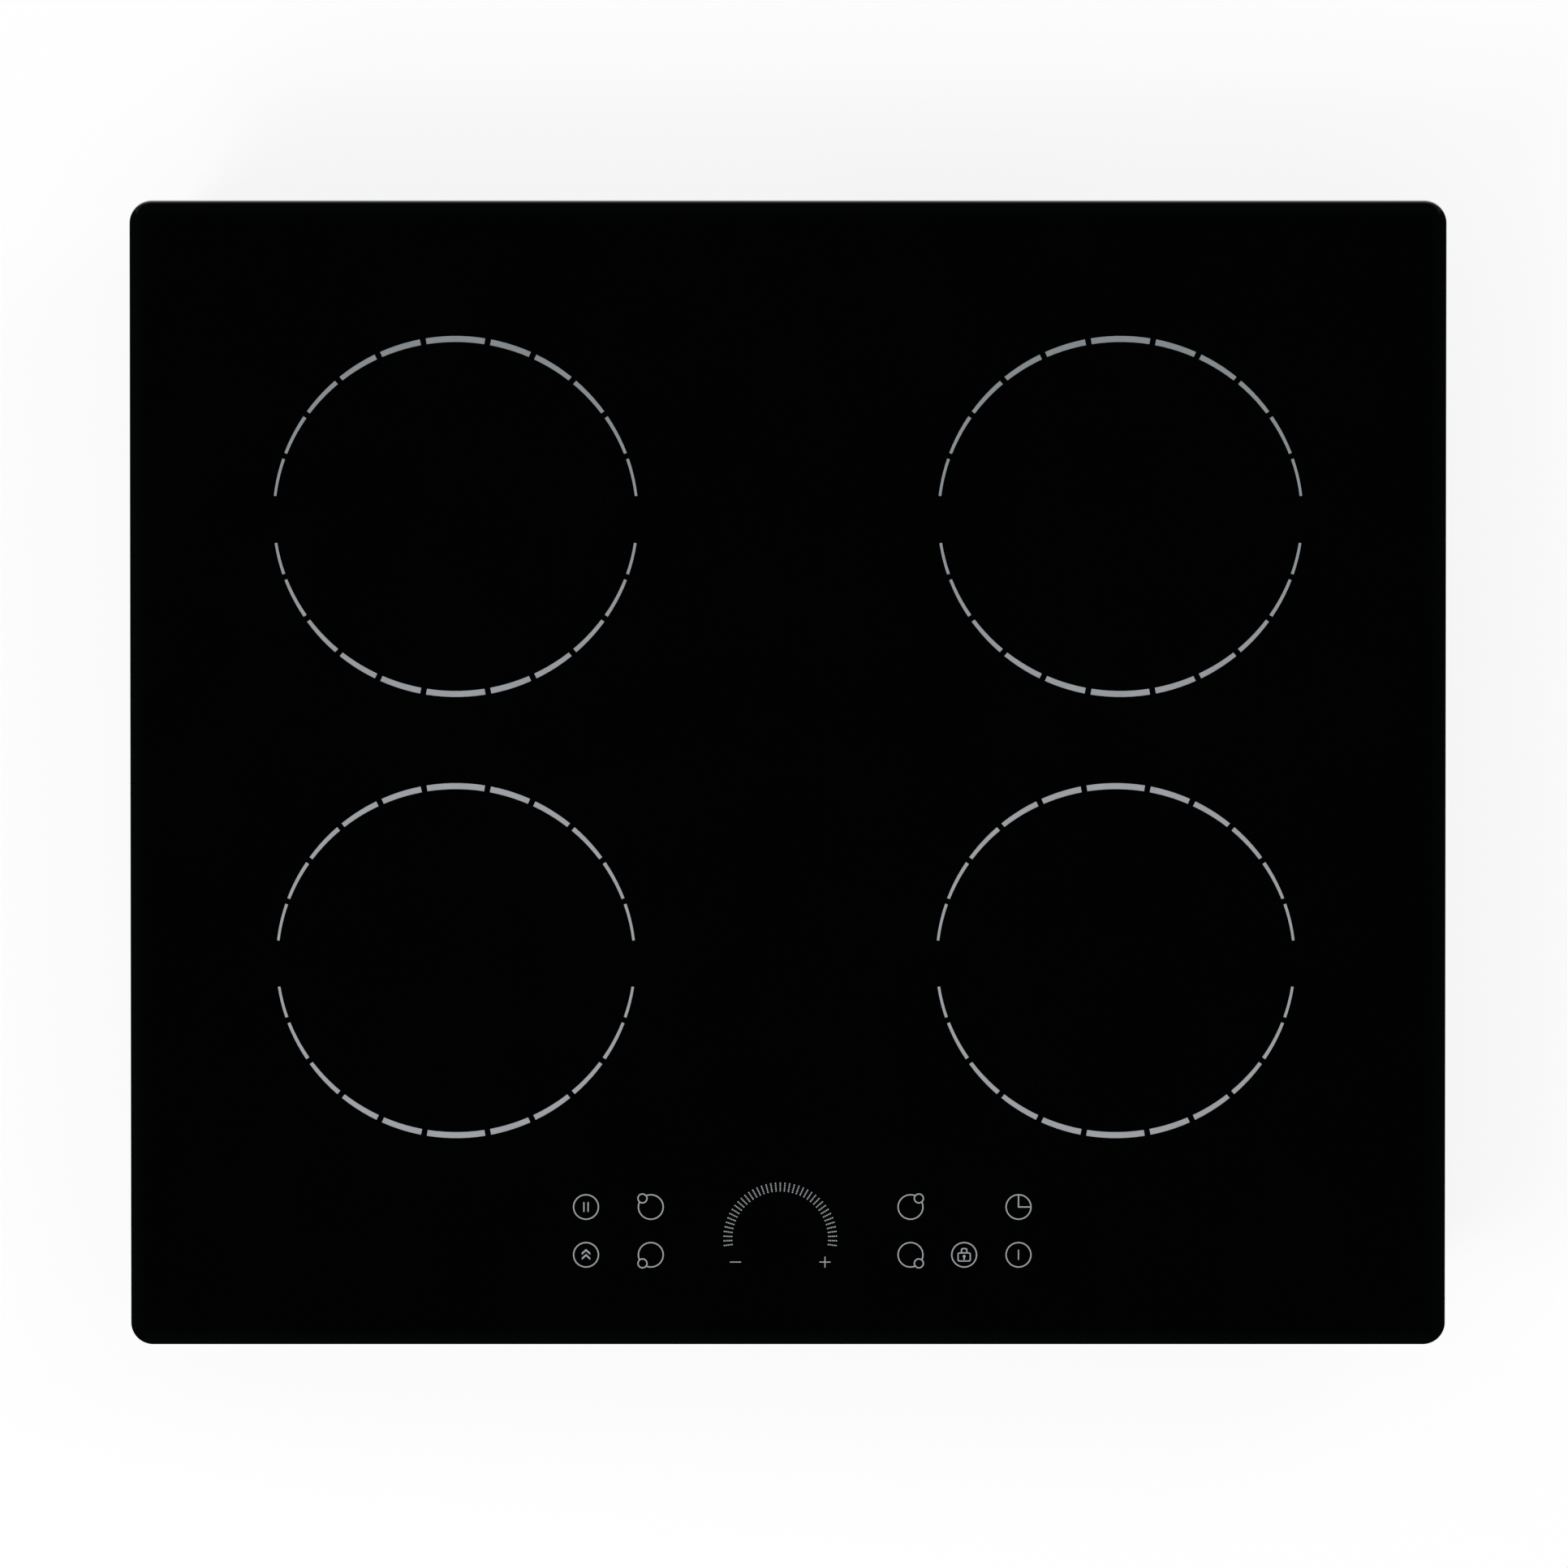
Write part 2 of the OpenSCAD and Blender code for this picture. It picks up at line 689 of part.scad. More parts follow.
module terminal_cover() color([0.07, 0.07, 0.075]) difference() {
    union() {
        translate([cover_x0, hinge_y, hinge_z]) rotate([0, 90, 0])
            cylinder(r = hinge_r, h = cover_x1 - cover_x0);
        translate([term_x0 - sheet_t - pin_past, hinge_y, hinge_z]) rotate([0, 90, 0])
            cylinder(r = hinge_pin_r, h = term_w + 2 * (sheet_t + pin_past));
        span([cover_x0, cover_y1 - cover_t, cover_z0], [cover_x1, cover_y1, hinge_z]);
        span([cover_x0, cover_y0, cover_z0], [cover_x1, cover_y1, cover_z0 + cover_t]);
        for (x = [cover_x0, cover_x1 - cover_t])
            span([x, cover_y0 + flange_in, cover_z0],
                [x + cover_t, cover_y1, cover_z0 + cover_t + flange_rise]);
    }
    translate([cord_x, tray_y + cut, cord_z]) rotate([90, 0, 0]) cylinder(r = notch_r, h = cord_end);
    span([cord_x - notch_r, tray_y - cord_end + cut, -cut], [cord_x + notch_r, tray_y + cut, cord_z]);
}

// ---------- Worktop clamps ----------

strip_t = 2;
strip_z = 6;
clamp_play = 0.1;
rib_w = 3;
rib_h = 1.2;
rib_start = 8;
spacer_r = 5.5;
washer_r = 6.5;
washer_t = 0.7;
clamp_head_r = 4.8;
clamp_head_t = 3.2;
nut_t = 4;
nut_r = 4.6;
screw_past_nut = 1;
tooth_gap = 2;
tooth_depth = 1.5;
head_slot_w = 1.2;
head_slot_len = 6;
head_slot_depth = 3;
washer_z = strip_z - clamp_play - washer_t;
nut_z = clamp_pocket_h + sheet_t;

module worktop_clamp(side, end) color([0.68, 0.69, 0.70]) at_clamp(side, end) difference() {
    union() {
        post(clamp_w / 2, strip_z, strip_z + strip_t);
        span([-clamp_w / 2, 0, strip_z], [clamp_w / 2, clamp_reach, strip_z + strip_t]);
        span([-clamp_w / 2, clamp_reach - strip_t, strip_z], [clamp_w / 2, clamp_reach, worktop_z]);
        span([-rib_w / 2, rib_start, strip_z + strip_t],
            [rib_w / 2, clamp_reach - strip_t, strip_z + strip_t + rib_h]);
    }
    post(clamp_screw_r + clamp_play, 0, clamp_pocket_h);
    for (x = [-clamp_w / 4, clamp_w / 4])
        span([x - tooth_gap / 2, clamp_reach - strip_t - cut, worktop_z - tooth_depth],
            [x + tooth_gap / 2, clamp_reach + cut, worktop_z + cut]);
}

module clamp_screws() color([0.60, 0.61, 0.62]) for (side = [-1, 1], end = [-1, 1]) at_clamp(side, end)
    difference() {
        union() {
            post(clamp_screw_r, washer_z, nut_z + nut_t + screw_past_nut);
            post(washer_r, washer_z, washer_z + washer_t);
            post(clamp_head_r, washer_z - clamp_head_t, washer_z);
            translate([0, 0, nut_z]) cylinder(r = nut_r, h = nut_t, $fn = 6);
        }
        translate([0, 0, washer_z - clamp_head_t]) for (turn = [0, 90])
            rotate(turn) cube([head_slot_w, head_slot_len, head_slot_depth], center = true);
    }

module clamp_spacers() color([0.90, 0.90, 0.87]) for (side = [-1, 1], end = [-1, 1]) at_clamp(side, end)
    difference() {
        post(spacer_r, strip_z + strip_t + clamp_play, clamp_pocket_h);
        post(clamp_screw_r + clamp_play, strip_z, clamp_pocket_h + cut);
    }

// ---------- Blowers ----------

housing_t = 1.4;
inlet_r = 30;
duct_len = 62;
lug_r = 4.5;
lug_h = 4;
lug_root = 4;
lug_at = blower_r + 3.5;
lug_angles = [40, 145, 292];
impeller_r = blower_r - housing_t - impeller_gap;
blade_depth = 10;
blade_inner = impeller_r - blade_depth;
blade_t = 1;
blade_len = 9;
blades = 24;
blade_turn = 35;
blade_floor_gap = 4;
blade_z0 = sheet_t + blade_floor_gap;
rim_t = 1.5;
rim_w = 4;
housing_top = sheet_t + blower_h;
disc_gap = 4.5;
disc_z = housing_top - housing_t - disc_gap;
motor_r = 13;
motor_gap = 2;
cup_r = motor_r + motor_gap;
cup_t = 2;
cup_floor_gap = 8;
cup_z = sheet_t + cup_floor_gap;
shaft_r = 1.5;
shaft_play = 0.1;

// A blower stands at its place on the right; the left one is its mirror image
module at_blower(side) mirror_if(side < 0) translate([blower_x, blower_y, 0]) children();

module blower_housing(side) color([0.12, 0.12, 0.13]) at_blower(side) difference() {
    union() {
        post(blower_r, sheet_t, housing_top);
        span([-blower_r, -duct_len, sheet_t], [0, 0, housing_top]);
        for (a = lug_angles) rotate(a) {
            translate([lug_at, 0, 0]) post(lug_r, sheet_t, sheet_t + lug_h);
            span([blower_r - lug_root, -lug_r, sheet_t], [lug_at, lug_r, sheet_t + lug_h]);
        }
    }
    post(blower_r - housing_t, sheet_t + housing_t, housing_top - housing_t);
    span([-blower_r + housing_t, -duct_len - cut, sheet_t + housing_t],
        [-housing_t, 0, housing_top - housing_t]);
    post(inlet_r, 0, sheet_t + 2 * housing_t);
    for (a = lug_angles) rotate(a) translate([lug_at, 0, 0])
        post(screw_r + screw_play / 2, 0, sheet_t + lug_h + cut);
}

module impeller(side) color([0.20, 0.21, 0.22]) at_blower(side) {
    difference() {
        union() {
            post(impeller_r, disc_z, disc_z + rim_t);
            post(cup_r + cup_t, cup_z, disc_z + rim_t);
        }
        post(cup_r, cup_z + cup_t, disc_z + rim_t + cut);
    }
    post(shaft_r, cup_z, disc_z);
    difference() {
        post(impeller_r, blade_z0, blade_z0 + rim_t);
        post(impeller_r - rim_w, 0, blade_z0 + 2 * rim_t);
    }
    for (i = [0:blades - 1]) rotate(i * 360 / blades) translate([blade_inner, 0, 0]) rotate(blade_turn)
        span([0, -blade_t / 2, blade_z0 + rim_t / 2], [blade_len, blade_t / 2, disc_z + rim_t / 2]);
}

module blower_motor(side) color([0.30, 0.31, 0.33]) at_blower(side) difference() {
    post(motor_r, cup_z + cup_t + motor_gap, housing_top - housing_t);
    post(shaft_r + shaft_play, cup_z, disc_z + 1);
}

// ---------- Power boards ----------

carrier_floor = 1.5;
carrier_edge = 2;
stand_r = 3.5;
window_cols = 3;
window_rows = 3;
rib = 8;
duct_gap = 8;
board_y0 = blower_y - duct_len - duct_gap - board_d;
board_y1 = board_y0 + board_d;
board_x0 = board_x - board_w / 2;
board_x1 = board_x + board_w / 2;
board_holes = [for (x = [board_x0 + hole_inset, board_x, board_x1 - hole_inset],
    y = [board_y0 + hole_inset, board_y1 - hole_inset]) [x, y]];
foot_in = 22;
foot_points = [for (x = [board_x0 + foot_in, board_x1 - foot_in], y = [board_y0, board_y1]) [x, y]];
foot_out = 3;
carrier_feet = [for (p = foot_points) [p.x, p.y + foot_out * sign(p.y - board_y0 - 1)]];
board_top = board_z + pcb_t;

module board_carrier(side) color([0.83, 0.83, 0.80]) mirror_if(side < 0) difference() {
    union() {
        span([board_x0 - carrier_edge, board_y0 - carrier_edge, sheet_t],
            [board_x1 + carrier_edge, board_y1 + carrier_edge, sheet_t + carrier_floor]);
        for (p = board_holes) translate(p) post(stand_r, sheet_t, board_z);
        for (p = carrier_feet) translate(p) post(lug_r, sheet_t, sheet_t + carrier_floor);
    }
    pitch_x = (board_w - rib) / window_cols;
    pitch_y = (board_d - rib) / window_rows;
    for (i = [0:window_cols - 1], j = [0:window_rows - 1])
        translate([board_x0 + rib + i * pitch_x, board_y0 + rib + j * pitch_y, 0])
            cube([pitch_x - rib, pitch_y - rib, 3 * carrier_floor + sheet_t]);
    for (p = carrier_feet) translate(p) post(screw_r + screw_play / 2, 0, board_z);
}

// Parts that stand on a power board: plugs, a transformer, electrolytic capacitors and coil terminals
plug_w = 10;
plug_len = 16;
plug_in = 8;
plug_top = board_top + 8;
fan_plug_x = board_x0 + plug_in;
mains_plug_x = board_x0 + 22;
ribbon_plug_x = board_x0 + 19.5;
ribbon_seat = [20, 7, 6];
ribbon_seat_in = 2;
coil_tab_w = 6;
coil_tab_h = 5;
coil_tab_x = board_x1 - coil_tab_w;
coil_tabs_y = [board_y1 - 75, board_y1 - 65, board_y1 - 22, board_y1 - 12];
transformer = [24, 22, 18];
transformer_in = [10, 8];
can_r = 6;
can_h = 16;
can_in = [48, 12];
can_pitch = 15;

module power_board(side) color([0.08, 0.30, 0.16]) mirror_if(side < 0) {
    difference() {
        span([board_x0, board_y0, board_z], [board_x1, board_y1, board_top]);
        for (p = board_holes) translate(p) post(screw_r + screw_play, 0, board_top + cut);
    }
    translate([board_x1 - transformer_in.x - transformer.x, board_y0 + transformer_in.y, board_top])
        cube(transformer);
    for (i = [0, 1]) translate([board_x1 - can_in.x, board_y0 + can_in.y + i * can_pitch, 0])
        post(can_r, board_top, board_top + can_h);
    for (y = coil_tabs_y) translate([coil_tab_x - coil_tab_w / 2, y - coil_tab_w / 2, board_top])
        cube([coil_tab_w, coil_tab_w, coil_tab_h]);
    translate([ribbon_plug_x - ribbon_seat.x / 2, board_y0 + ribbon_seat_in, board_top]) cube(ribbon_seat);
    for (x = [fan_plug_x, mains_plug_x])
        span([x - plug_w / 2, board_y1 - plug_in - plug_len, board_top],
            [x + plug_w / 2, board_y1 - plug_in, plug_top]);
}

// Heat sink: a finned extrusion lying on the flat transistors, in line with the blower duct
sink_w = 46;
sink_x = board_x - sink_w / 2;
sink_base = 4;
sink_foot_w = 8;
sink_foot_d = 5;
sink_top = 34;
fins = 9;
fin_t = 1.4;
chip_t = 5;
sink_y0 = board_y0 + 26;
sink_y1 = board_y1 - 4;

module heat_sink(side) color([0.75, 0.76, 0.78]) mirror_if(side < 0) {
    fin_pitch = (sink_w - fin_t) / (fins - 1);
    span([sink_x - sink_w / 2, sink_y0, board_top + chip_t],
        [sink_x + sink_w / 2, sink_y1, board_top + chip_t + sink_base]);
    for (i = [0:fins - 1]) translate([sink_x - sink_w / 2 + i * fin_pitch, 0, 0])
        span([0, sink_y0, board_top + chip_t], [fin_t, sink_y1, sink_top]);
    for (y = [sink_y0, sink_y1 - sink_foot_d])
        translate([sink_x - sink_w / 2, y, board_top]) cube([sink_foot_w, sink_foot_d, chip_t]);
}

// Flat power packages under the heat sink, four switches and one rectifier a board
chip_w = 16;
chip_len = 20;
lead_w = 1.2;
lead_len = 4;
chips = 4;
chip_shift = 4;
chip_in = 24;
chip_pitch = 28;
rectifier_w = 30;
rectifier_in = 118;

module power_package(w, len, leads) {
    span([-w / 2, -len / 2, board_top], [w / 2, len / 2, board_top + chip_t]);
    for (i = [0:leads - 1]) translate([(i - (leads - 1) / 2) * w / leads, -len / 2, 0])
        span([-lead_w / 2, -lead_len, board_top], [lead_w / 2, 0.1, board_top + 2]);
}

module power_transistors() color([0.07, 0.07, 0.08]) for (side = [0, 1]) mirror([side, 0, 0])
    translate([sink_x + chip_shift, sink_y0 + chip_in, 0]) {
        for (i = [0:chips - 1]) translate([0, i * chip_pitch, 0]) power_package(chip_w, chip_len, 3);
        translate([0, rectifier_in, 0]) power_package(rectifier_w, chip_len, 4);
    }

cap = [30, 17, 24];
cap_gap = 6;
caps = 4;
caps_in = [8, 42];
mains_cap = [22, 16, 20];
mains_cap_pitch = 30;
mains_caps_in = [10, 16];

module film_capacitors() color([0.16, 0.30, 0.55]) {
    for (side = [0, 1], i = [0:caps - 1]) mirror([side, 0, 0])
        translate([board_x + caps_in.x, board_y0 + caps_in.y + i * (cap.y + cap_gap), board_top]) cube(cap);
    for (i = [0, 1])
        translate([filter_x0 + mains_caps_in.x + i * mains_cap_pitch, filter_y0 + mains_caps_in.y, board_top])
            cube(mains_cap);
}

// A choke: a coated toroid core lying flat, with its edges broken
choke_edge = 1.5;
choke_in = 40;

module choke(r, hole, h) translate([0, 0, board_top]) rotate_extrude() polygon([
    [hole + choke_edge, 0], [r - choke_edge, 0], [r, choke_edge], [r, h - choke_edge],
    [r - choke_edge, h], [hole + choke_edge, h], [hole, h - choke_edge], [hole, choke_edge]
]);

module choke_coils() color([0.62, 0.36, 0.18]) {
    for (side = [0, 1]) mirror([side, 0, 0])
        translate([board_x + caps_in.x + cap.x / 2, board_y1 - choke_in, 0])
            choke(r = 15, hole = 6, h = 14);
    translate([(filter_x0 + filter_x1) / 2, filter_y1 - choke_in, 0]) choke(r = 20, hole = 9, h = 18);
}

input_plug = [10, 22, plug_top - board_top];
input_plug_from = [12, 34];
output_plug = [22, 11, plug_top - board_top];
output_plug_from = [34, -1];

module filter_board() color([0.08, 0.30, 0.16]) {
    difference() {
        span([filter_x0, filter_y0, board_z], [filter_x1, filter_y1, board_top]);
        for (p = filter_holes) translate(p) post(screw_r + screw_play, 0, board_top + cut);
    }
    translate([filter_x1 - input_plug_from.x, filter_y1 - input_plug_from.y, board_top]) cube(input_plug);
    translate([filter_x1 - output_plug_from.x, filter_y0 - output_plug_from.y, board_top]) cube(output_plug);
}

// ---------- Coils ----------

sensor_r = 4.8;
sensor_play = 0.4;
sensor_flange = 2.7;
sensor_flange_t = 1.4;
mica_past = 4;

module mica_sheet(c) color([0.72, 0.66, 0.52]) translate(c) difference() {
    post(coil_r + mica_past, glass_z - mica_t, glass_z);
    post(sensor_r + 1, glass_z - mica_t - cut, glass_z + cut);
}

// The winding: turns of litz wire side by side, with a groove between neighbours
turns = floor((coil_r - coil_inner_r) / litz_d);
groove = 0.7;

module winding(c) color([0.70, 0.38, 0.20]) translate([c.x, c.y, winding_z]) rotate_extrude()
    for (i = [0:turns - 1]) translate([coil_r - (i + 1) * litz_d, 0]) polygon([
        [0, groove], [groove, 0], [litz_d - groove, 0], [litz_d, groove],
        [litz_d, winding_h - groove], [litz_d - groove, winding_h],
        [groove, winding_h], [0, winding_h - groove]
    ]);

// The carrier: a disc with windows, and pegs that snap into the coil plate through the springs
peg_r = 2.2;
peg_at = coil_r - 9;
peg_angles = [67.5, 202.5, 337.5];
peg_tip_r = 2.9;
peg_tip_h = 1.8;
peg_tip_gap = 0.6;
carrier_past = 2;
peg_play = 0.3;
window_r = 9;
window_at = (coil_r + coil_inner_r) / 2 - 2.5;
bars = 8;
bar_step = 360 / bars;

module coil_carrier(c) color([0.88, 0.87, 0.82]) translate(c) {
    difference() {
        post(coil_r + carrier_past, carrier_z, winding_z);
        post(sensor_r + sensor_play, carrier_z - cut, winding_z + cut);
        for (i = [0:bars - 1]) rotate((i + 0.5) * bar_step) translate([window_at, 0, 0])
            post(window_r, carrier_z - cut, winding_z + cut);
    }
    for (a = peg_angles) rotate(a) translate([peg_at, 0, 0]) {
        post(peg_r, plate_z - peg_tip_h, carrier_z + cut);
        post(peg_tip_r, plate_z - peg_tip_h - peg_tip_gap, plate_z - peg_tip_gap);
    }
}

ferrite_w = 10;
ferrite_in = 2;
ferrite_out = 4;

module ferrite_bars() color([0.13, 0.13, 0.14]) for (c = zones) translate(c)
    for (i = [0:bars - 1]) rotate(i * bar_step)
        span([coil_inner_r + ferrite_in, -ferrite_w / 2, carrier_z - ferrite_t],
            [coil_r - ferrite_out, ferrite_w / 2, carrier_z]);

module temperature_sensors() color([0.92, 0.92, 0.90]) for (c = zones) translate(c) {
    post(sensor_r, carrier_z - sensor_flange_t, glass_z);
    post(sensor_r + sensor_flange, carrier_z - sensor_flange_t, carrier_z);
}

// Compression springs round the pegs, between the coil plate and the carrier
spring_wire_r = 0.45;
spring_r = 3.5;
spring_turns = 3;
spring_steps = 8;
spring_seat = 0.1;

function helix(r, z0, z1, n, steps) = [for (i = [0:n * steps])
    [r * cos(360 * i / steps), r * sin(360 * i / steps), z0 + (z1 - z0) * i / (n * steps)]];

module coil_springs() color([0.70, 0.71, 0.73]) for (c = zones, a = peg_angles) translate(c) rotate(a)
    translate([peg_at, 0, 0]) tube(helix(spring_r, plate_z + plate_t + spring_wire_r + spring_seat,
        carrier_z - spring_wire_r - spring_seat, spring_turns, spring_steps), spring_wire_r, 6);

// The coil plate: aluminium sheet, folded down to the side wall and on legs in the middle
plate_inner_x = 5;
plate_outer_x = tray_x - sheet_t - wall_gap;
plate_fold = 10;
plate_lip = 5;
lead_slot = 5;

module coil_plate(side) color([0.78, 0.79, 0.81]) mirror_if(side < 0) difference() {
    union() {
        span([plate_inner_x, plate_front_y, plate_z], [plate_outer_x, plate_rear_y, plate_z + plate_t]);
        span([plate_outer_x - plate_t, plate_front_y, plate_z - plate_fold],
            [plate_outer_x, plate_rear_y, plate_z + plate_t]);
        for (y = [plate_front_y, plate_rear_y - plate_t])
            span([plate_inner_x, y, plate_z - plate_lip], [plate_outer_x, y + plate_t, plate_z + plate_t]);
        for (y = legs_y) {
            span([plate_inner_x, y, sheet_t], [plate_inner_x + plate_t, y + leg_w, plate_z + plate_t]);
            span([plate_inner_x, y, sheet_t], [plate_inner_x + leg_w, y + leg_w, sheet_t + plate_t]);
        }
    }
    for (y = [zone_rear_y, -zone_front_y]) translate([zone_x, y, 0]) {
        post(coil_inner_r / 2, plate_z - cut, plate_z + 2 * plate_t);
        for (a = peg_angles) rotate(side < 0 ? 180 - a : a) translate([peg_at, 0, 0])
            post(peg_r + peg_play, plate_z - cut, plate_z + 2 * plate_t);
        for (i = [0:bars - 1]) rotate((i + 0.5) * bar_step) translate([window_at, 0, 0])
            post(window_r, plate_z - cut, plate_z + 2 * plate_t);
    }
    span([coil_tab_x - lead_slot, coil_tabs_y[0] - lead_slot, plate_z - cut],
        [coil_tab_x + lead_slot, coil_tabs_y[3] + lead_slot, plate_z + 2 * plate_t]);
    for (y = plate_screws_y) translate([plate_outer_x - 2 * plate_t, y, plate_screw_z]) rotate([0, 90, 0])
        cylinder(r = screw_r + screw_play, h = 4 * plate_t);
    for (y = legs_y) translate([plate_inner_x + leg_w / 2 + plate_t / 2, y + leg_w / 2, 0])
        post(screw_r + screw_play / 2, 0, 3 * plate_t + sheet_t);
}

// Litz leads from each winding down to the coil tabs of its power board
lead_r = 1.3;
lead_z = winding_z + winding_h / 2;
lead_end = board_top + coil_tab_h;
lead_start_r = coil_r + 0.3;
rear_leads_x = [zone_x + 45, zone_x + 57];
lead_step = (plate_z - lead_end) / 10;

// Half the width of a circle of radius r at a distance from its middle line
function chord(r, away) = sqrt(pow(r, 2) - pow(away, 2));

// The last points of a lead or wire, straight down onto its plug, and the first points straight up
function drop_onto(x, y, z, step = 2.5) = [[x, y, z + 2 * step], [x, y, z + step], [x, y, z]];
function rise_from(x, y, z, step) = [[x, y, z], [x, y, z + step], [x, y, z + 2 * step]];

function front_lead(y) = let (x = zone_x + chord(lead_start_r, y + zone_front_y - lead_r)) concat([
    [x, y, lead_z], [x + 4, y, lead_z], [coil_tab_x - 4, y, lead_z - 3], [coil_tab_x, y, plate_z + 3]
], drop_onto(coil_tab_x, y, lead_end, lead_step));

function rear_lead(x, y) = let (start = zone_rear_y - chord(lead_start_r, x - zone_x - lead_r)) concat([
    [x, start, lead_z], [x, start - 4, lead_z], [x + 6, start - 14, lead_z - 3],
    [coil_tab_x - 3, y + 4, plate_z + 4], [coil_tab_x, y, plate_z - 6]
], drop_onto(coil_tab_x, y, lead_end, lead_step));

module coil_leads() color([0.75, 0.20, 0.12]) for (side = [0, 1]) mirror([side, 0, 0]) {
    for (i = [0, 1]) {
        tube(smooth_route(front_lead(coil_tabs_y[i]), 3), lead_r);
        tube(smooth_route(rear_lead(rear_leads_x[i], coil_tabs_y[2 + i]), 3), lead_r);
    }
}

// Mains wires: terminal block to filter board, and filter board to both power boards
wire_r = 1.3;
wire_run_y = term_y0 - 8;
wire_start_z = term_h - block_h / 2;
wire_run_z = [wire_start_z, wire_start_z - 4, wire_start_z - 7.5];
filter_plug_x = filter_x1 - 7;
wire_pitch = 4;
core_pitch = 7;
first_core = 16;
right_supply_in = 17;
left_supply_in = 29;

function terminal_wire(i) = let (x = block_x0 + (2 * i + 0.5) * block_pitch)
    let (y = filter_y1 - first_core - core_pitch * i) concat([
        [x, block_y0, wire_start_z], [x, block_y0 - 1.5, wire_start_z], [x, block_y0 - 3, wire_start_z],
        [x - 8, wire_run_y, wire_run_z[i]], [4, wire_run_y, wire_run_z[i]],
        [-20, (wire_run_y + y) / 2, wire_run_z[i] + 2]
    ], drop_onto(filter_plug_x, y, plug_top));

function supply_wire(start_x, side, shift) = let (route = concat(
    rise_from(start_x, filter_y0 + 6, plug_top, 2.5), [[start_x + side * 14, filter_y0 - 6, plug_top + 7],
    [side * (mains_plug_x - 20), blower_y + 4, plug_top + 5],
    [side * (mains_plug_x - 3), blower_y - 28, plug_top + 5], [side * mains_plug_x, board_y1, plug_top + 6]
], drop_onto(side * mains_plug_x, board_y1 - 18, plug_top)))
    [for (point = route) point + shift * [side * wire_pitch, wire_pitch, 0]];

module mains_wires() color([0.45, 0.22, 0.12]) {
    for (i = [0:2]) tube(smooth_route(terminal_wire(i), 3), wire_r);
    for (shift = [-0.5, 0.5]) {
        tube(smooth_route(supply_wire(filter_x1 - right_supply_in, 1, shift), 2), wire_r);
        tube(smooth_route(supply_wire(filter_x1 - left_supply_in, -1, shift), 2), wire_r);
    }
}

// Lead of each blower motor, out through the top of its housing and over the duct
fan_wire_r = 1.1;
fan_route = concat(rise_from(blower_x - 14, blower_y, housing_top, 1), [
    [blower_x - 16, blower_y - 3, housing_top + 3.5], [blower_x - 32, blower_y - 18, housing_top + 3],
    [blower_x - blower_r - 6, blower_y - 42, housing_top + 2], [fan_plug_x + 4, board_y1 + 2, plug_top + 10]
], drop_onto(fan_plug_x, board_y1 - 16, plug_top));

module fan_leads() color([0.75, 0.10, 0.10]) for (side = [0, 1])
    mirror([side, 0, 0]) tube(smooth_route(fan_route, 3), fan_wire_r);

// ---------- Control unit ----------

control_x = 6.5;
control_w = 222;
control_d = 50;
control_inset = 52;
control_y = control_inset - glass_d / 2;
pad_h = 4.6;
pad_r = 4;
dial_pad_w = 4.4;
display_gap = 0.2;
control_pcb_z = glass_z - pad_h - pcb_t;
unit_wall = 1.5;
unit_gap = 0.5;
unit_floor_gap = 3.8;
unit_floor_z = control_pcb_z - unit_floor_gap;
unit_rim = 0.6;
unit_x = control_w / 2 + unit_gap + unit_wall;
unit_y = control_d / 2 + unit_gap + unit_wall;
unit_leg_r = 4;
unit_foot_r = 11.5;
unit_foot_t = 2;
unit_foot_screw = 8;
ledge = 3;
unit_leg_in = 5;
unit_legs = [for (x = [-1, 1], y = [-1, 1]) [x * (unit_x - unit_leg_in), y * (unit_y - unit_leg_in)]];
unit_window = [28, 32];
unit_window_pitch = 40;

module control_carrier() color([0.16, 0.16, 0.17]) translate([control_x, control_y, 0]) {
    difference() {
        span([-unit_x, -unit_y, unit_floor_z], [unit_x, unit_y, control_pcb_z + pcb_t + unit_rim]);
        span([-unit_x + unit_wall, -unit_y + unit_wall, control_pcb_z],
            [unit_x - unit_wall, unit_y - unit_wall, glass_z]);
        span([-unit_x + unit_wall + ledge, -unit_y + unit_wall + ledge, unit_floor_z + unit_wall],
            [unit_x - unit_wall - ledge, unit_y - unit_wall - ledge, glass_z]);
        for (i = [-2:2]) translate([i * unit_window_pitch, 0, unit_floor_z - cut])
            linear_extrude(unit_wall + 2 * cut) square(unit_window, center = true);
    }
    for (p = unit_legs) translate(p) difference() {
        union() {
            post(unit_leg_r, sheet_t, unit_floor_z);
            span([-unit_leg_r, 0, sheet_t], [unit_leg_r, unit_foot_r * sign(-p.y), sheet_t + unit_foot_t]);
        }
        translate([0, unit_foot_screw * sign(-p.y), 0])
            post(screw_r + screw_play / 2, 0, unit_foot_t + 2 * sheet_t);
    }
}

ribbon_w = 18;
ribbon_t = 0.8;
ribbon_gap = 3;
ribbon_rise = 6;
ribbon_plug_d = 5;
ribbon_plug_h = 3;

module control_board() color([0.07, 0.26, 0.15]) {
    span([control_x - control_w / 2, control_y - control_d / 2, control_pcb_z],
        [control_x + control_w / 2, control_y + control_d / 2, control_pcb_z + pcb_t]);
    for (side = [-1, 1]) translate([side * ribbon_plug_x, 0, 0])
        span([-ribbon_seat.x / 2, control_y + control_d / 2 - ribbon_plug_d, control_pcb_z + pcb_t],
            [ribbon_seat.x / 2, control_y + control_d / 2, control_pcb_z + pcb_t + ribbon_plug_h]);
}

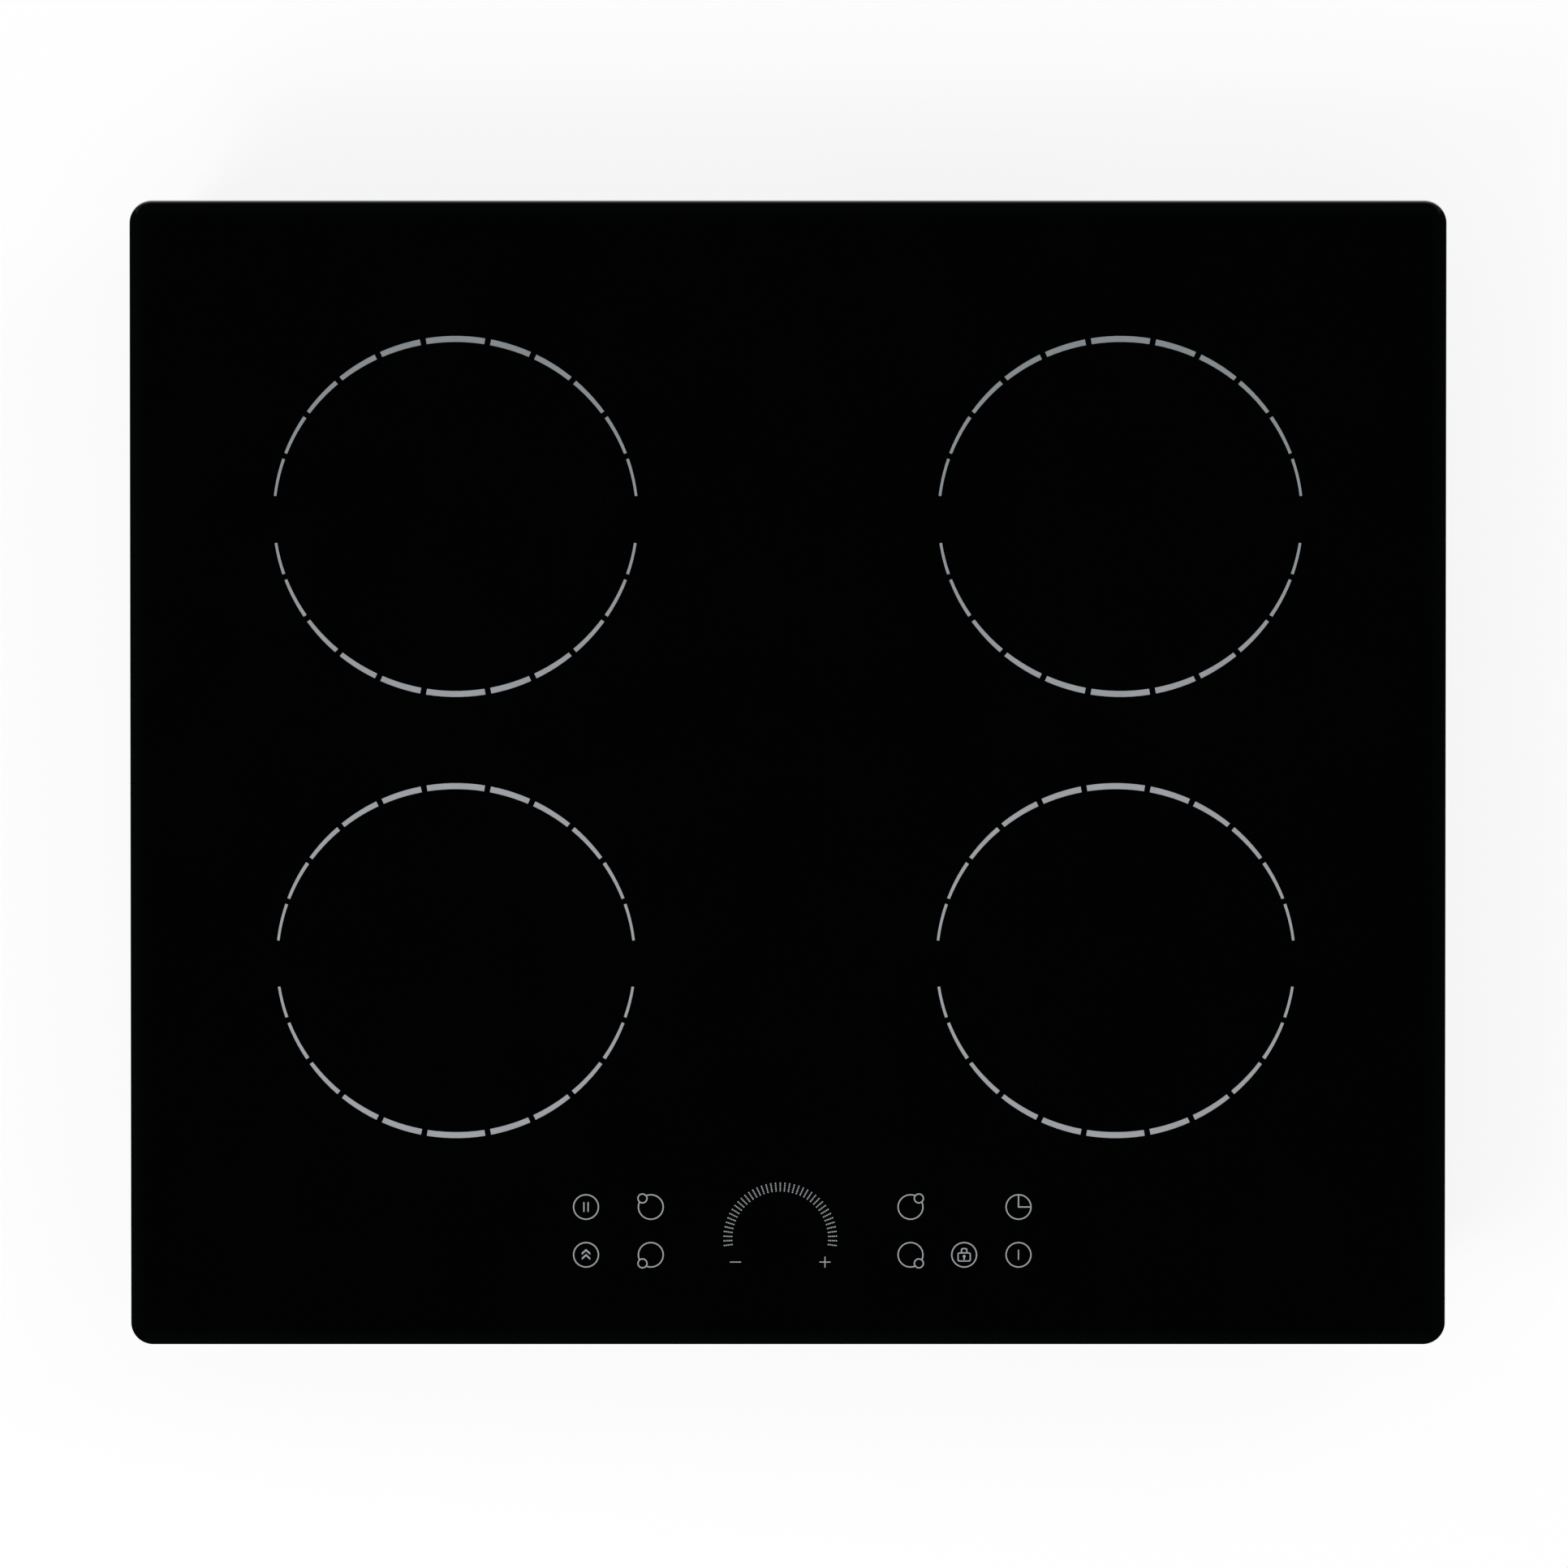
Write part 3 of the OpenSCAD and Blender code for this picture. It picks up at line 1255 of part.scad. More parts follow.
// Foam pads that carry each key's touch sensing up to the glass, and one curved pad for the slider
module touch_pads() color([0.25, 0.25, 0.27]) {
    for (p = key_places) translate(p) post(pad_r, control_pcb_z + pcb_t, glass_z);
    translate([dial_x, dial_y, control_pcb_z + pcb_t]) {
        half = dial_side_ticks * tick_pitch;
        rotate(90 - half) rotate_extrude(angle = 2 * half)
            translate([dial_r - dot_d, 0]) square([dial_pad_w, pad_h]);
    }
}

// Display windows between the key columns and in the middle of the slider
digit_w = 9;
digit_d = 12;
left_digits_x = (boost_x + left_zone_key_x) / 2;
right_digits_x = (right_zone_key_x + lock_x) / 2;
dial_digits_rise = 4;
display_places = [for (x = [left_digits_x, right_digits_x], y = [key_rear_y, key_front_y]) [x, y]];

module display(w, d) span([-w / 2, -d / 2, control_pcb_z + pcb_t], [w / 2, d / 2, glass_z - display_gap]);

module led_displays() color([0.20, 0.05, 0.05]) {
    for (p = display_places) translate(p) display(digit_w, digit_d);
    translate([dial_x, dial_y + dial_digits_rise]) display(2 * digit_w, digit_d);
}

// Flat ribbon from the control board over its carrier, down and into each power board
module ribbon_cables() color([0.70, 0.70, 0.72]) {
    top = control_pcb_z + pcb_t + ribbon_plug_h / 2;
    start = control_y + control_d / 2;
    drop = start + unit_wall + unit_gap + ribbon_gap;
    plug_y = board_y0 + ribbon_seat_in + ribbon_seat.y / 2 - ribbon_t / 2;
    low = board_top + ribbon_seat.z;
    shelf = low + ribbon_rise;
    for (side = [-1, 1]) {
        x = side * ribbon_plug_x;
        along_x(x - ribbon_w / 2, x + ribbon_w / 2) {
            translate([start, top - ribbon_t / 2]) square([drop - start + ribbon_t, ribbon_t]);
            translate([drop, shelf]) square([ribbon_t, top - shelf]);
            translate([drop, shelf]) square([plug_y - drop + ribbon_t, ribbon_t]);
            translate([plug_y, low]) square([ribbon_t, shelf - low + ribbon_t]);
        }
    }
}

// ---------- Floor screws ----------

// Screws from above into the floor, each by its place and the thickness under its head
function mirrored(points) = concat(points, [for (p = points) [-p.x, p.y]]);
housing_feet = [for (a = lug_angles) [blower_x + lug_at * cos(a), blower_y + lug_at * sin(a)]];
plate_feet = [for (y = legs_y) [plate_inner_x + leg_w / 2 + plate_t / 2, y + leg_w / 2]];
unit_feet = [for (p = unit_legs) [control_x + p.x, control_y + p.y + unit_foot_screw * sign(-p.y)]];

floor_head_r = 2.7;
floor_slot_len = 3.2;

module floor_screws(points, under) for (p = points) translate([p.x, p.y, 0]) difference() {
    union() {
        post(screw_r, sheet_t, under);
        post(floor_head_r, under, under + screw_head_t);
    }
    translate([0, 0, under + screw_head_t])
        cube([screw_slot_w, floor_slot_len, screw_slot_depth], center = true);
}

module tray_screws() color([0.62, 0.63, 0.65]) {
    floor_screws(mirrored(housing_feet), sheet_t + lug_h);
    floor_screws(mirrored(carrier_feet), sheet_t + carrier_floor);
    floor_screws(mirrored(plate_feet), sheet_t + plate_t);
    floor_screws(unit_feet, sheet_t + unit_foot_t);
    for (p = concat(mirrored(board_holes), filter_holes)) translate(p)
        post(floor_head_r, board_top, board_top + screw_head_t);
}

glass_top();
zone_print();
control_print();
rim_gasket();
bonding_bead();
glass_frame();
base_tray();
side_screws();
tray_screws();
blower_housing(-1);  // left_blower_housing
blower_housing(1);  // right_blower_housing
impeller(-1);  // left_impeller
impeller(1);  // right_impeller
blower_motor(-1);  // left_blower_motor
blower_motor(1);  // right_blower_motor
fan_leads();
board_carrier(-1);  // left_board_carrier
board_carrier(1);  // right_board_carrier
power_board(-1);  // left_power_board
power_board(1);  // right_power_board
heat_sink(-1);  // left_heat_sink
heat_sink(1);  // right_heat_sink
power_transistors();
film_capacitors();
choke_coils();
filter_board();
mains_wires();
winding(zones[0]);  // rear_left_winding
winding(zones[1]);  // rear_right_winding
winding(zones[2]);  // front_left_winding
winding(zones[3]);  // front_right_winding
coil_carrier(zones[0]);  // rear_left_coil_carrier
coil_carrier(zones[1]);  // rear_right_coil_carrier
coil_carrier(zones[2]);  // front_left_coil_carrier
coil_carrier(zones[3]);  // front_right_coil_carrier
mica_sheet(zones[0]);  // rear_left_mica
mica_sheet(zones[1]);  // rear_right_mica
mica_sheet(zones[2]);  // front_left_mica
mica_sheet(zones[3]);  // front_right_mica
ferrite_bars();
temperature_sensors();
coil_springs();
coil_leads();
coil_plate(-1);  // left_coil_plate
coil_plate(1);  // right_coil_plate
control_board();
control_carrier();
touch_pads();
led_displays();
ribbon_cables();
terminal_block();
terminal_cover();
cord_clamp();
worktop_clamp(-1, -1);  // front_left_clamp
worktop_clamp(1, -1);  // front_right_clamp
worktop_clamp(-1, 1);  // rear_left_clamp
worktop_clamp(1, 1);  // rear_right_clamp
clamp_screws();
clamp_spacers();
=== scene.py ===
"""Looks, light and camera for the built-in induction cooktop. Metres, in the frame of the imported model."""
import math

import bmesh
import bpy
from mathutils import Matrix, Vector


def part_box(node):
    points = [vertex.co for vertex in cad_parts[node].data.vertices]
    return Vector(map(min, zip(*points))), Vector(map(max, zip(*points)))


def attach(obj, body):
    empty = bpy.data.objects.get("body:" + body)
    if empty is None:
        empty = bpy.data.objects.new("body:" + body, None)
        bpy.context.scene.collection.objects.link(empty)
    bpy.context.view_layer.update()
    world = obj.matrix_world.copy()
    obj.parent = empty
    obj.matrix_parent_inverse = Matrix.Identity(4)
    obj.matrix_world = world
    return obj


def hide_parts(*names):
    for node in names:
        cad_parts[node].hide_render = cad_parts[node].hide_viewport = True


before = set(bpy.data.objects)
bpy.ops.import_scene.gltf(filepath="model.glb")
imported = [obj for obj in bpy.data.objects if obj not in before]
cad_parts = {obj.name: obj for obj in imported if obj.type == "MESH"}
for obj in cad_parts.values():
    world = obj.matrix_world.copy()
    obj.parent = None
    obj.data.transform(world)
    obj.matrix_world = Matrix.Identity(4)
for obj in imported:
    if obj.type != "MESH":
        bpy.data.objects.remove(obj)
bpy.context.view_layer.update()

MM = 0.001
WELD = 0.005 * MM
CORNER_STEPS = 24
MAIN_BODY = "cooktop"
WINDINGS = ("rear_left_winding", "rear_right_winding", "front_left_winding", "front_right_winding")
BOARDS = ("left_power_board", "right_power_board", "filter_board", "control_board")


# ---------- Node helpers ----------

class Nodes:
    """A node tree under construction, with short calls for the nodes that all trees share."""

    def __init__(self, tree):
        self.tree = tree

    def add(self, kind, inputs=None, **settings):
        """A new node. Inputs are given by name or number, as values or as sockets to link."""
        node = self.tree.nodes.new(kind)
        for name, value in settings.items():
            setattr(node, name, value)
        for name, value in (inputs or {}).items():
            if isinstance(value, bpy.types.NodeSocket):
                self.tree.links.new(value, node.inputs[name])
            else:
                node.inputs[name].default_value = value
        return node

    def math(self, operation, first, second=0.0, **settings):
        inputs = {0: first, 1: second}
        return self.add("ShaderNodeMath", inputs, operation=operation, **settings).outputs[0]

    def fit(self, value, low, high, to_low=0.0, to_high=1.0, **settings):
        """The value, carried from one range to another and held within it."""
        inputs = {"Value": value, "From Min": low, "From Max": high, "To Min": to_low, "To Max": to_high}
        return self.add("ShaderNodeMapRange", inputs, **settings).outputs[0]

    def blend(self, amount, first, second):
        """A shader between two shaders."""
        return self.add("ShaderNodeMixShader", {0: amount, 1: first, 2: second}).outputs[0]


class Finish(Nodes):
    """A procedural material under construction, with short calls for what finishes share."""

    def __init__(self, name, **values):
        self.material = bpy.data.materials.new(name)
        self.material.use_nodes = True
        super().__init__(self.material.node_tree)
        self.shader = self.tree.nodes["Principled BSDF"]
        self.place = self.add("ShaderNodeTexCoord").outputs["Object"]
        for socket, value in values.items():
            self.put(socket.replace("_", " "), value)

    def put(self, socket, value):
        """Sets or links one socket of the shader."""
        if isinstance(value, bpy.types.NodeSocket):
            self.tree.links.new(value, self.shader.inputs[socket])
        elif isinstance(value, tuple):
            self.shader.inputs[socket].default_value = (*value, 1)
        else:
            self.shader.inputs[socket].default_value = value

    def stretched(self, stretch):
        """The object's place with each axis scaled. A pattern is drawn out where the scale is small."""
        return self.add("ShaderNodeMapping", {"Vector": self.place, "Scale": stretch}).outputs[0]

    def noise(self, size, detail=4.0, rough=0.55, stretch=None):
        """Noise with features of about this size in metres."""
        place = self.stretched(stretch) if stretch else self.place
        inputs = {"Vector": place, "Scale": 1 / size, "Detail": detail, "Roughness": rough}
        return self.add("ShaderNodeTexNoise", inputs).outputs["Fac"]

    def cells(self, size, output="Distance", **settings):
        """Cells of about this size in metres."""
        inputs = {"Vector": self.place, "Scale": 1 / size}
        return self.add("ShaderNodeTexVoronoi", inputs, **settings).outputs[output]

    def axis(self, name):
        """One coordinate of the object's place."""
        return self.add("ShaderNodeSeparateXYZ", {0: self.place}).outputs[name]

    def mix(self, amount, first, second):
        """A colour between two colours."""
        first, second = [(*c, 1) if isinstance(c, tuple) else c for c in (first, second)]
        inputs = {0: amount, 6: first, 7: second}
        return self.add("ShaderNodeMix", inputs, data_type="RGBA").outputs[2]

    def bump(self, height, depth):
        """Bumps of this depth in metres, on top of the bumps that are there already."""
        inputs = {"Height": height, "Strength": 1.0, "Distance": depth}
        before = self.shader.inputs["Normal"].links
        if before:
            inputs["Normal"] = before[0].from_socket
        self.put("Normal", self.add("ShaderNodeBump", inputs).outputs[0])

    def edges(self, reach):
        """1 on edges, 0 on open faces, within this reach in metres. It rounds the shaded edges too."""
        rounded = self.add("ShaderNodeBevel", {"Radius": reach}, samples=6).outputs[0]
        true = self.add("ShaderNodeNewGeometry").outputs["Normal"]
        along = self.add("ShaderNodeVectorMath", {0: rounded, 1: true}, operation="DOT_PRODUCT")
        self.put("Normal", rounded)
        return self.fit(along.outputs["Value"], 0.995, 0.80)


def shade(colour, share):
    """The colour, darker or lighter by a share."""
    return tuple(min(1.0, c * share) for c in colour)


# ---------- Finishes ----------

def black_glass():
    """Black glass ceramic: wiped clean, with a few dust specks and a green cast in the ground edge."""
    f = Finish("black_glass", Roughness=0.05, IOR=1.52)
    x, y = f.axis("X"), f.axis("Y")
    side = f.math("SUBTRACT", f.math("ABSOLUTE", x), GLASS.half_x)
    front = f.math("SUBTRACT", f.math("ABSOLUTE", y), GLASS.half_y)
    border = f.fit(f.math("MAXIMUM", side, front), -7 * MM, -1 * MM)
    body = f.mix(f.noise(0.05), (0.0005, 0.0006, 0.0006), (0.0008, 0.0009, 0.0009))
    speck = f.fit(f.cells(11 * MM), 0.0, 0.02, 1.0, 0.0)
    chance = f.fit(f.noise(0.013, detail=0), 0.60, 0.66)
    dusty = f.mix(f.math("MULTIPLY", speck, chance), body, (0.012, 0.012, 0.013))
    f.put("Base Color", f.mix(border, dusty, (0.0012, 0.0021, 0.0017)))
    wiped = f.noise(0.06, detail=6, stretch=(1, 0.35, 1))
    f.put("Roughness", f.fit(wiped, 0.35, 0.75, 0.03, 0.075))
    f.bump(f.noise(0.09, detail=1), 0.02 * MM)
    return f.material


def grey_enamel():
    """Fired screen print: a fine frit with a slightly uneven edge, darker towards the rear rows."""
    f = Finish("grey_enamel", Roughness=0.5, IOR=1.5)
    frit = f.noise(0.35 * MM, detail=3)
    patchy = f.fit(f.noise(7 * MM), 0.3, 0.7)
    near = f.mix(patchy, (0.338, 0.350, 0.371), (0.368, 0.382, 0.403))
    far = f.mix(patchy, (0.226, 0.250, 0.264), (0.246, 0.272, 0.288))
    # The tone is darker towards the rear rows.
    tone = f.mix(f.fit(f.axis("Y"), 0.0, 0.2), near, far)
    f.put("Base Color", f.mix(f.fit(frit, 0.45, 0.75, 0.0, 0.25), tone, (0.21, 0.22, 0.24)))
    f.put("Roughness", f.fit(frit, 0.3, 0.7, 0.42, 0.6))
    f.bump(frit, 0.012 * MM)
    return f.material


def foam(name, colour):
    """Closed-cell foam with open pores on its skin."""
    f = Finish(name, Roughness=0.95, Sheen_Weight=0.15, Sheen_Roughness=0.6)
    pores = f.cells(0.55 * MM)
    coarse = f.noise(3 * MM)
    # Painted shade: darker in the pits of the pores, lighter on the skin between them.
    f.put("Base Color", f.mix(f.fit(pores, 0.1, 0.6), shade(colour, 0.45), shade(colour, 1.25)))
    f.put("Roughness", f.fit(coarse, 0.3, 0.7, 0.88, 0.98))
    f.bump(pores, 0.12 * MM)
    f.bump(coarse, 0.15 * MM)
    return f.material


def silicone():
    """The bonding bead: smoothed by hand, with small ripples and trapped dust."""
    f = Finish("silicone_bead", Roughness=0.4, IOR=1.42)
    ripple = f.noise(2.5 * MM, detail=2)
    dust = f.noise(0.5 * MM)
    f.put("Base Color", f.mix(f.fit(dust, 0.5, 0.8), (0.020, 0.020, 0.021), (0.050, 0.050, 0.050)))
    f.put("Roughness", f.fit(ripple, 0.3, 0.7, 0.3, 0.5))
    f.bump(ripple, 0.2 * MM)
    return f.material


def along_the_frame(f, fine):
    """Drawn lines that follow each side of a rectangular frame."""
    across = f.noise(fine, detail=2, stretch=(0.01, 1, 1))
    deep = f.noise(fine, detail=2, stretch=(1, 0.01, 1))
    gap = f.math("SUBTRACT", f.math("ABSOLUTE", f.axis("X")), f.math("ABSOLUTE", f.axis("Y")))
    on_sides = f.fit(gap, GLASS.half_x - GLASS.half_y - 2 * MM, GLASS.half_x - GLASS.half_y + 2 * MM)
    return f.mix(on_sides, across, deep)


def frame_aluminium():
    """Extruded aluminium with die lines, dulled by handling and bright on its edges."""
    f = Finish("frame_aluminium", Metallic=1.0, Roughness=0.32)
    lines = along_the_frame(f, 0.5 * MM)
    handled = f.noise(0.03, detail=5)
    tone = f.mix(f.fit(handled, 0.35, 0.7), (0.66, 0.67, 0.69), (0.56, 0.57, 0.59))
    tone = f.mix(f.fit(lines, 0.55, 0.8, 0.0, 0.35), tone, (0.46, 0.47, 0.49))
    f.put("Base Color", f.mix(f.edges(0.5 * MM), tone, (0.80, 0.81, 0.83)))
    f.put("Roughness", f.fit(handled, 0.3, 0.7, 0.26, 0.42))
    f.bump(lines, 0.02 * MM)
    return f.material


def zinc_sheet():
    """Hot-dip galvanised sheet: frosted spangle, rolling marks, a few scratches, bright cut edges."""
    f = Finish("zinc_sheet", Metallic=1.0, Roughness=0.4)
    spangle = f.add("ShaderNodeSeparateColor", {0: f.cells(5 * MM, "Color")}).outputs[0]
    frost = f.noise(0.9 * MM, detail=3)
    cloudy = f.noise(0.045, detail=6)
    tone = f.mix(spangle, (0.50, 0.515, 0.53), (0.575, 0.59, 0.60))
    tone = f.mix(f.fit(cloudy, 0.45, 0.8, 0.0, 0.5), tone, (0.44, 0.455, 0.46))
    scratch = f.fit(f.noise(1.1 * MM, detail=1, stretch=(0.03, 1, 0.6)), 0.70, 0.73)
    scarce = f.fit(f.noise(0.03, detail=1), 0.55, 0.62)
    tone = f.mix(f.math("MULTIPLY", scratch, scarce), tone, (0.80, 0.81, 0.82))
    f.put("Base Color", f.mix(f.edges(0.6 * MM), tone, (0.78, 0.79, 0.80)))
    dull = f.math("ADD", f.fit(spangle, 0.0, 1.0, 0.30, 0.42), f.fit(frost, 0.3, 0.7, 0.0, 0.10))
    f.put("Roughness", dull)
    f.bump(frost, 0.012 * MM)
    f.bump(f.noise(0.02, detail=2), 0.10 * MM)
    return f.material


def zinc_screw():
    """Bright zinc plate with a faint straw cast and worn drives."""
    f = Finish("zinc_screw", Metallic=1.0, Roughness=0.3)
    cast = f.noise(1.6 * MM)
    tone = f.mix(f.fit(cast, 0.35, 0.65), (0.66, 0.665, 0.66), (0.60, 0.58, 0.50))
    f.put("Base Color", f.mix(f.edges(0.3 * MM), tone, (0.84, 0.84, 0.83)))
    f.put("Roughness", f.fit(f.noise(0.4 * MM), 0.3, 0.7, 0.22, 0.42))
    f.bump(f.noise(0.25 * MM), 0.01 * MM)
    return f.material


def plain_steel(name, colour, low, high):
    """Bare steel with fine grain, oil stains and bright edges."""
    f = Finish(name, Metallic=1.0, Roughness=0.35)
    stain = f.noise(6 * MM, detail=5)
    grain = f.noise(0.3 * MM)
    tone = f.mix(f.fit(stain, 0.4, 0.75), colour, shade(colour, 0.72))
    f.put("Base Color", f.mix(f.edges(0.3 * MM), tone, shade(colour, 1.35)))
    f.put("Roughness", f.fit(stain, 0.3, 0.7, low, high))
    f.bump(grain, 0.01 * MM)
    return f.material


def motor_steel():
    """The motor's stack of laminations: thin sheets on edge, varnished."""
    f = Finish("motor_steel", Metallic=0.85, Roughness=0.4, Coat_Weight=0.2, Coat_Roughness=0.3)
    sheets = f.math("FRACT", f.math("DIVIDE", f.axis("Z"), 0.65 * MM))
    gap = f.fit(sheets, 0.0, 0.25, 1.0, 0.0)
    varnish = f.noise(4 * MM, detail=5)
    tone = f.mix(f.fit(varnish, 0.4, 0.7), (0.20, 0.205, 0.21), (0.13, 0.125, 0.12))
    f.put("Base Color", f.mix(gap, tone, (0.05, 0.05, 0.05)))
    f.put("Roughness", f.fit(varnish, 0.3, 0.7, 0.3, 0.5))
    f.bump(gap, -0.08 * MM)
    return f.material


def rolled_aluminium(name, stretch, low=0.28, high=0.42):
    """Aluminium sheet or extrusion with lines along one axis and soft handling marks."""
    f = Finish(name, Metallic=1.0, Roughness=0.35)
    lines = f.noise(0.4 * MM, detail=2, stretch=stretch)
    handled = f.noise(0.025, detail=6)
    tone = f.mix(f.fit(lines, 0.3, 0.7), (0.60, 0.61, 0.63), (0.72, 0.73, 0.745))
    tone = f.mix(f.fit(handled, 0.5, 0.8, 0.0, 0.45), tone, (0.50, 0.505, 0.51))
    f.put("Base Color", f.mix(f.edges(0.4 * MM), tone, (0.83, 0.84, 0.85)))
    f.put("Roughness", f.fit(handled, 0.3, 0.7, low, high))
    f.bump(lines, 0.015 * MM)
    return f.material


def moulded(name, colour, low=0.38, high=0.52, grain=0.02):
    """Injection-moulded plastic: spark-eroded grain, faint flow marks, edges painted lighter as a painted
    highlight.
    """
    f = Finish(name, Roughness=0.45, IOR=1.5)
    sparks = f.noise(0.35 * MM, detail=3)
    flow = f.noise(0.03, detail=3, stretch=(1, 0.3, 1))
    tone = f.mix(f.fit(flow, 0.35, 0.7), colour, shade(colour, 0.86))
    # Painted highlight: the edges are painted lighter than the rest.
    painted_edge_highlight = tuple(c + 0.05 * (1 - c) for c in colour)
    f.put("Base Color", f.mix(f.edges(0.3 * MM), tone, painted_edge_highlight))
    f.put("Roughness", f.fit(sparks, 0.3, 0.7, low, high))
    f.bump(sparks, grain * MM)
    f.bump(flow, 0.15 * MM)
    return f.material


def circuit_board():
    """Green solder mask over copper tracks, with tinned pads."""
    f = Finish("circuit_board", Roughness=0.3, Coat_Weight=0.35, Coat_Roughness=0.15)
    tracks = f.add("ShaderNodeTexBrick", {
        "Vector": f.place, "Scale": 95.0, "Mortar Size": 0.05, "Brick Width": 0.9, "Row Height": 0.22,
    }, offset=0.37).outputs["Fac"]
    pads = f.fit(f.cells(5 * MM, distance="CHEBYCHEV"), 0.12, 0.16, 1.0, 0.0)
    weave = f.noise(0.8 * MM)
    tone = f.mix(f.fit(weave, 0.3, 0.7), (0.012, 0.105, 0.045), (0.018, 0.135, 0.060))
    tone = f.mix(tracks, tone, (0.040, 0.230, 0.095))
    f.put("Base Color", f.mix(pads, tone, (0.62, 0.61, 0.57)))
    f.put("Metallic", pads)
    f.put("Roughness", f.fit(weave, 0.3, 0.7, 0.24, 0.36))
    f.bump(tracks, 0.035 * MM)
    return f.material


def copper_wire():
    """Enamelled copper: fine strands between the turns, painted lighter where they stand up as a painted
    highlight.
    """
    f = Finish("copper_wire", Metallic=0.9, Roughness=0.35, Coat_Weight=0.4, Coat_Roughness=0.2)
    strands = f.noise(0.35 * MM, detail=2)
    # Painted highlight: the strands are painted lighter where the bump raises them.
    tone = f.mix(f.fit(strands, 0.35, 0.7), (0.56, 0.23, 0.09), (0.73, 0.38, 0.18))
    heat = f.fit(f.noise(0.02), 0.45, 0.75, 0.0, 0.5)
    f.put("Base Color", f.mix(heat, tone, (0.38, 0.15, 0.06)))
    f.put("Roughness", f.fit(strands, 0.3, 0.7, 0.28, 0.45))
    f.bump(strands, 0.08 * MM)
    return f.material


def litz_wire():
    """Litz: bundled strands that twist along the wire, under a clear lacquer."""
    f = Finish("litz_wire", Metallic=0.9, Roughness=0.35, Coat_Weight=0.3, Coat_Roughness=0.25)
    twist = f.add("ShaderNodeAttribute", attribute_name="twist").outputs["Fac"]
    strands = f.math("SINE", f.math("MULTIPLY", twist, math.tau))
    # Painted shade and painted highlight: dark in the grooves between the strands, light on their crowns.
    tone = f.mix(f.fit(strands, -1.0, 0.6), (0.20, 0.070, 0.025), (0.70, 0.34, 0.15))
    lacquer = f.fit(f.noise(9 * MM), 0.45, 0.75, 0.0, 0.45)
    f.put("Base Color", f.mix(lacquer, tone, (0.36, 0.15, 0.06)))
    f.put("Roughness", f.fit(f.noise(0.5 * MM), 0.3, 0.7, 0.28, 0.45))
    f.bump(strands, 0.18 * MM)
    return f.material


def mica():
    """Pressed mica: overlapping flakes, pearly where they catch the light."""
    f = Finish("mica", Roughness=0.35, Sheen_Weight=0.2, Sheen_Roughness=0.3)
    flakes = f.add("ShaderNodeSeparateColor", {0: f.cells(3.2 * MM, "Color")}).outputs[0]
    veins = f.noise(1.2 * MM, detail=5)
    tone = f.mix(flakes, (0.47, 0.41, 0.27), (0.66, 0.60, 0.44))
    f.put("Base Color", f.mix(f.fit(veins, 0.5, 0.8, 0.0, 0.5), tone, (0.35, 0.29, 0.18)))
    f.put("Roughness", f.fit(flakes, 0.0, 1.0, 0.22, 0.5))
    f.bump(flakes, 0.03 * MM)
    return f.material


def ferrite():
    """Sintered ferrite: dull, grainy, with small chips on the edges."""
    f = Finish("ferrite", Roughness=0.65)
    grain = f.noise(0.4 * MM, detail=6)
    tone = f.mix(f.fit(grain, 0.3, 0.7), (0.020, 0.020, 0.022), (0.045, 0.044, 0.046))
    f.put("Base Color", f.mix(f.edges(0.4 * MM), tone, (0.085, 0.085, 0.09)))
    f.put("Roughness", f.fit(grain, 0.3, 0.7, 0.55, 0.78))
    f.bump(grain, 0.05 * MM)
    return f.material


def insulation(name, colour):
    """Soft wire insulation with a slight wave and dull patches."""
    f = Finish(name, Roughness=0.42, IOR=1.5)
    wave = f.noise(5 * MM, detail=3)
    powder = f.noise(0.6 * MM)
    tone = f.mix(f.fit(wave, 0.35, 0.7), colour, shade(colour, 0.75))
    pale = tuple(c + 0.06 * (1 - c) for c in colour)
    f.put("Base Color", f.mix(f.fit(powder, 0.6, 0.8, 0.0, 0.6), tone, pale))
    f.put("Roughness", f.fit(wave, 0.3, 0.7, 0.32, 0.52))
    f.bump(wave, 0.1 * MM)
    return f.material


def ribbon():
    """Flat cable: parallel conductors under grey insulation."""
    f = Finish("ribbon_cable", Roughness=0.5)
    ridges = f.math("SINE", f.math("MULTIPLY", f.axis("X"), math.tau / (1.27 * MM)))
    # Painted shade and painted highlight: darker in the grooves between the conductors, lighter on the
    # ridges.
    tone = f.mix(f.fit(ridges, -1.0, 1.0), (0.33, 0.33, 0.34), (0.47, 0.47, 0.48))
    f.put("Base Color", f.mix(f.fit(f.noise(4 * MM), 0.4, 0.8, 0.0, 0.4), tone, (0.28, 0.28, 0.28)))
    f.put("Roughness", f.fit(f.noise(1 * MM), 0.3, 0.7, 0.42, 0.6))
    f.bump(ridges, 0.2 * MM)
    return f.material


def display_plastic():
    """Smoked red display windows, glossy with a hint of the cells behind."""
    f = Finish("display_plastic", Roughness=0.15, Coat_Weight=0.5, Coat_Roughness=0.08)
    cells = f.fit(f.cells(2.2 * MM, distance="CHEBYCHEV"), 0.25, 0.35)
    f.put("Base Color", f.mix(cells, (0.060, 0.008, 0.007), (0.030, 0.005, 0.005)))
    f.put("Roughness", f.fit(f.noise(3 * MM), 0.3, 0.7, 0.10, 0.25))
    f.bump(f.noise(1 * MM), 0.01 * MM)
    return f.material


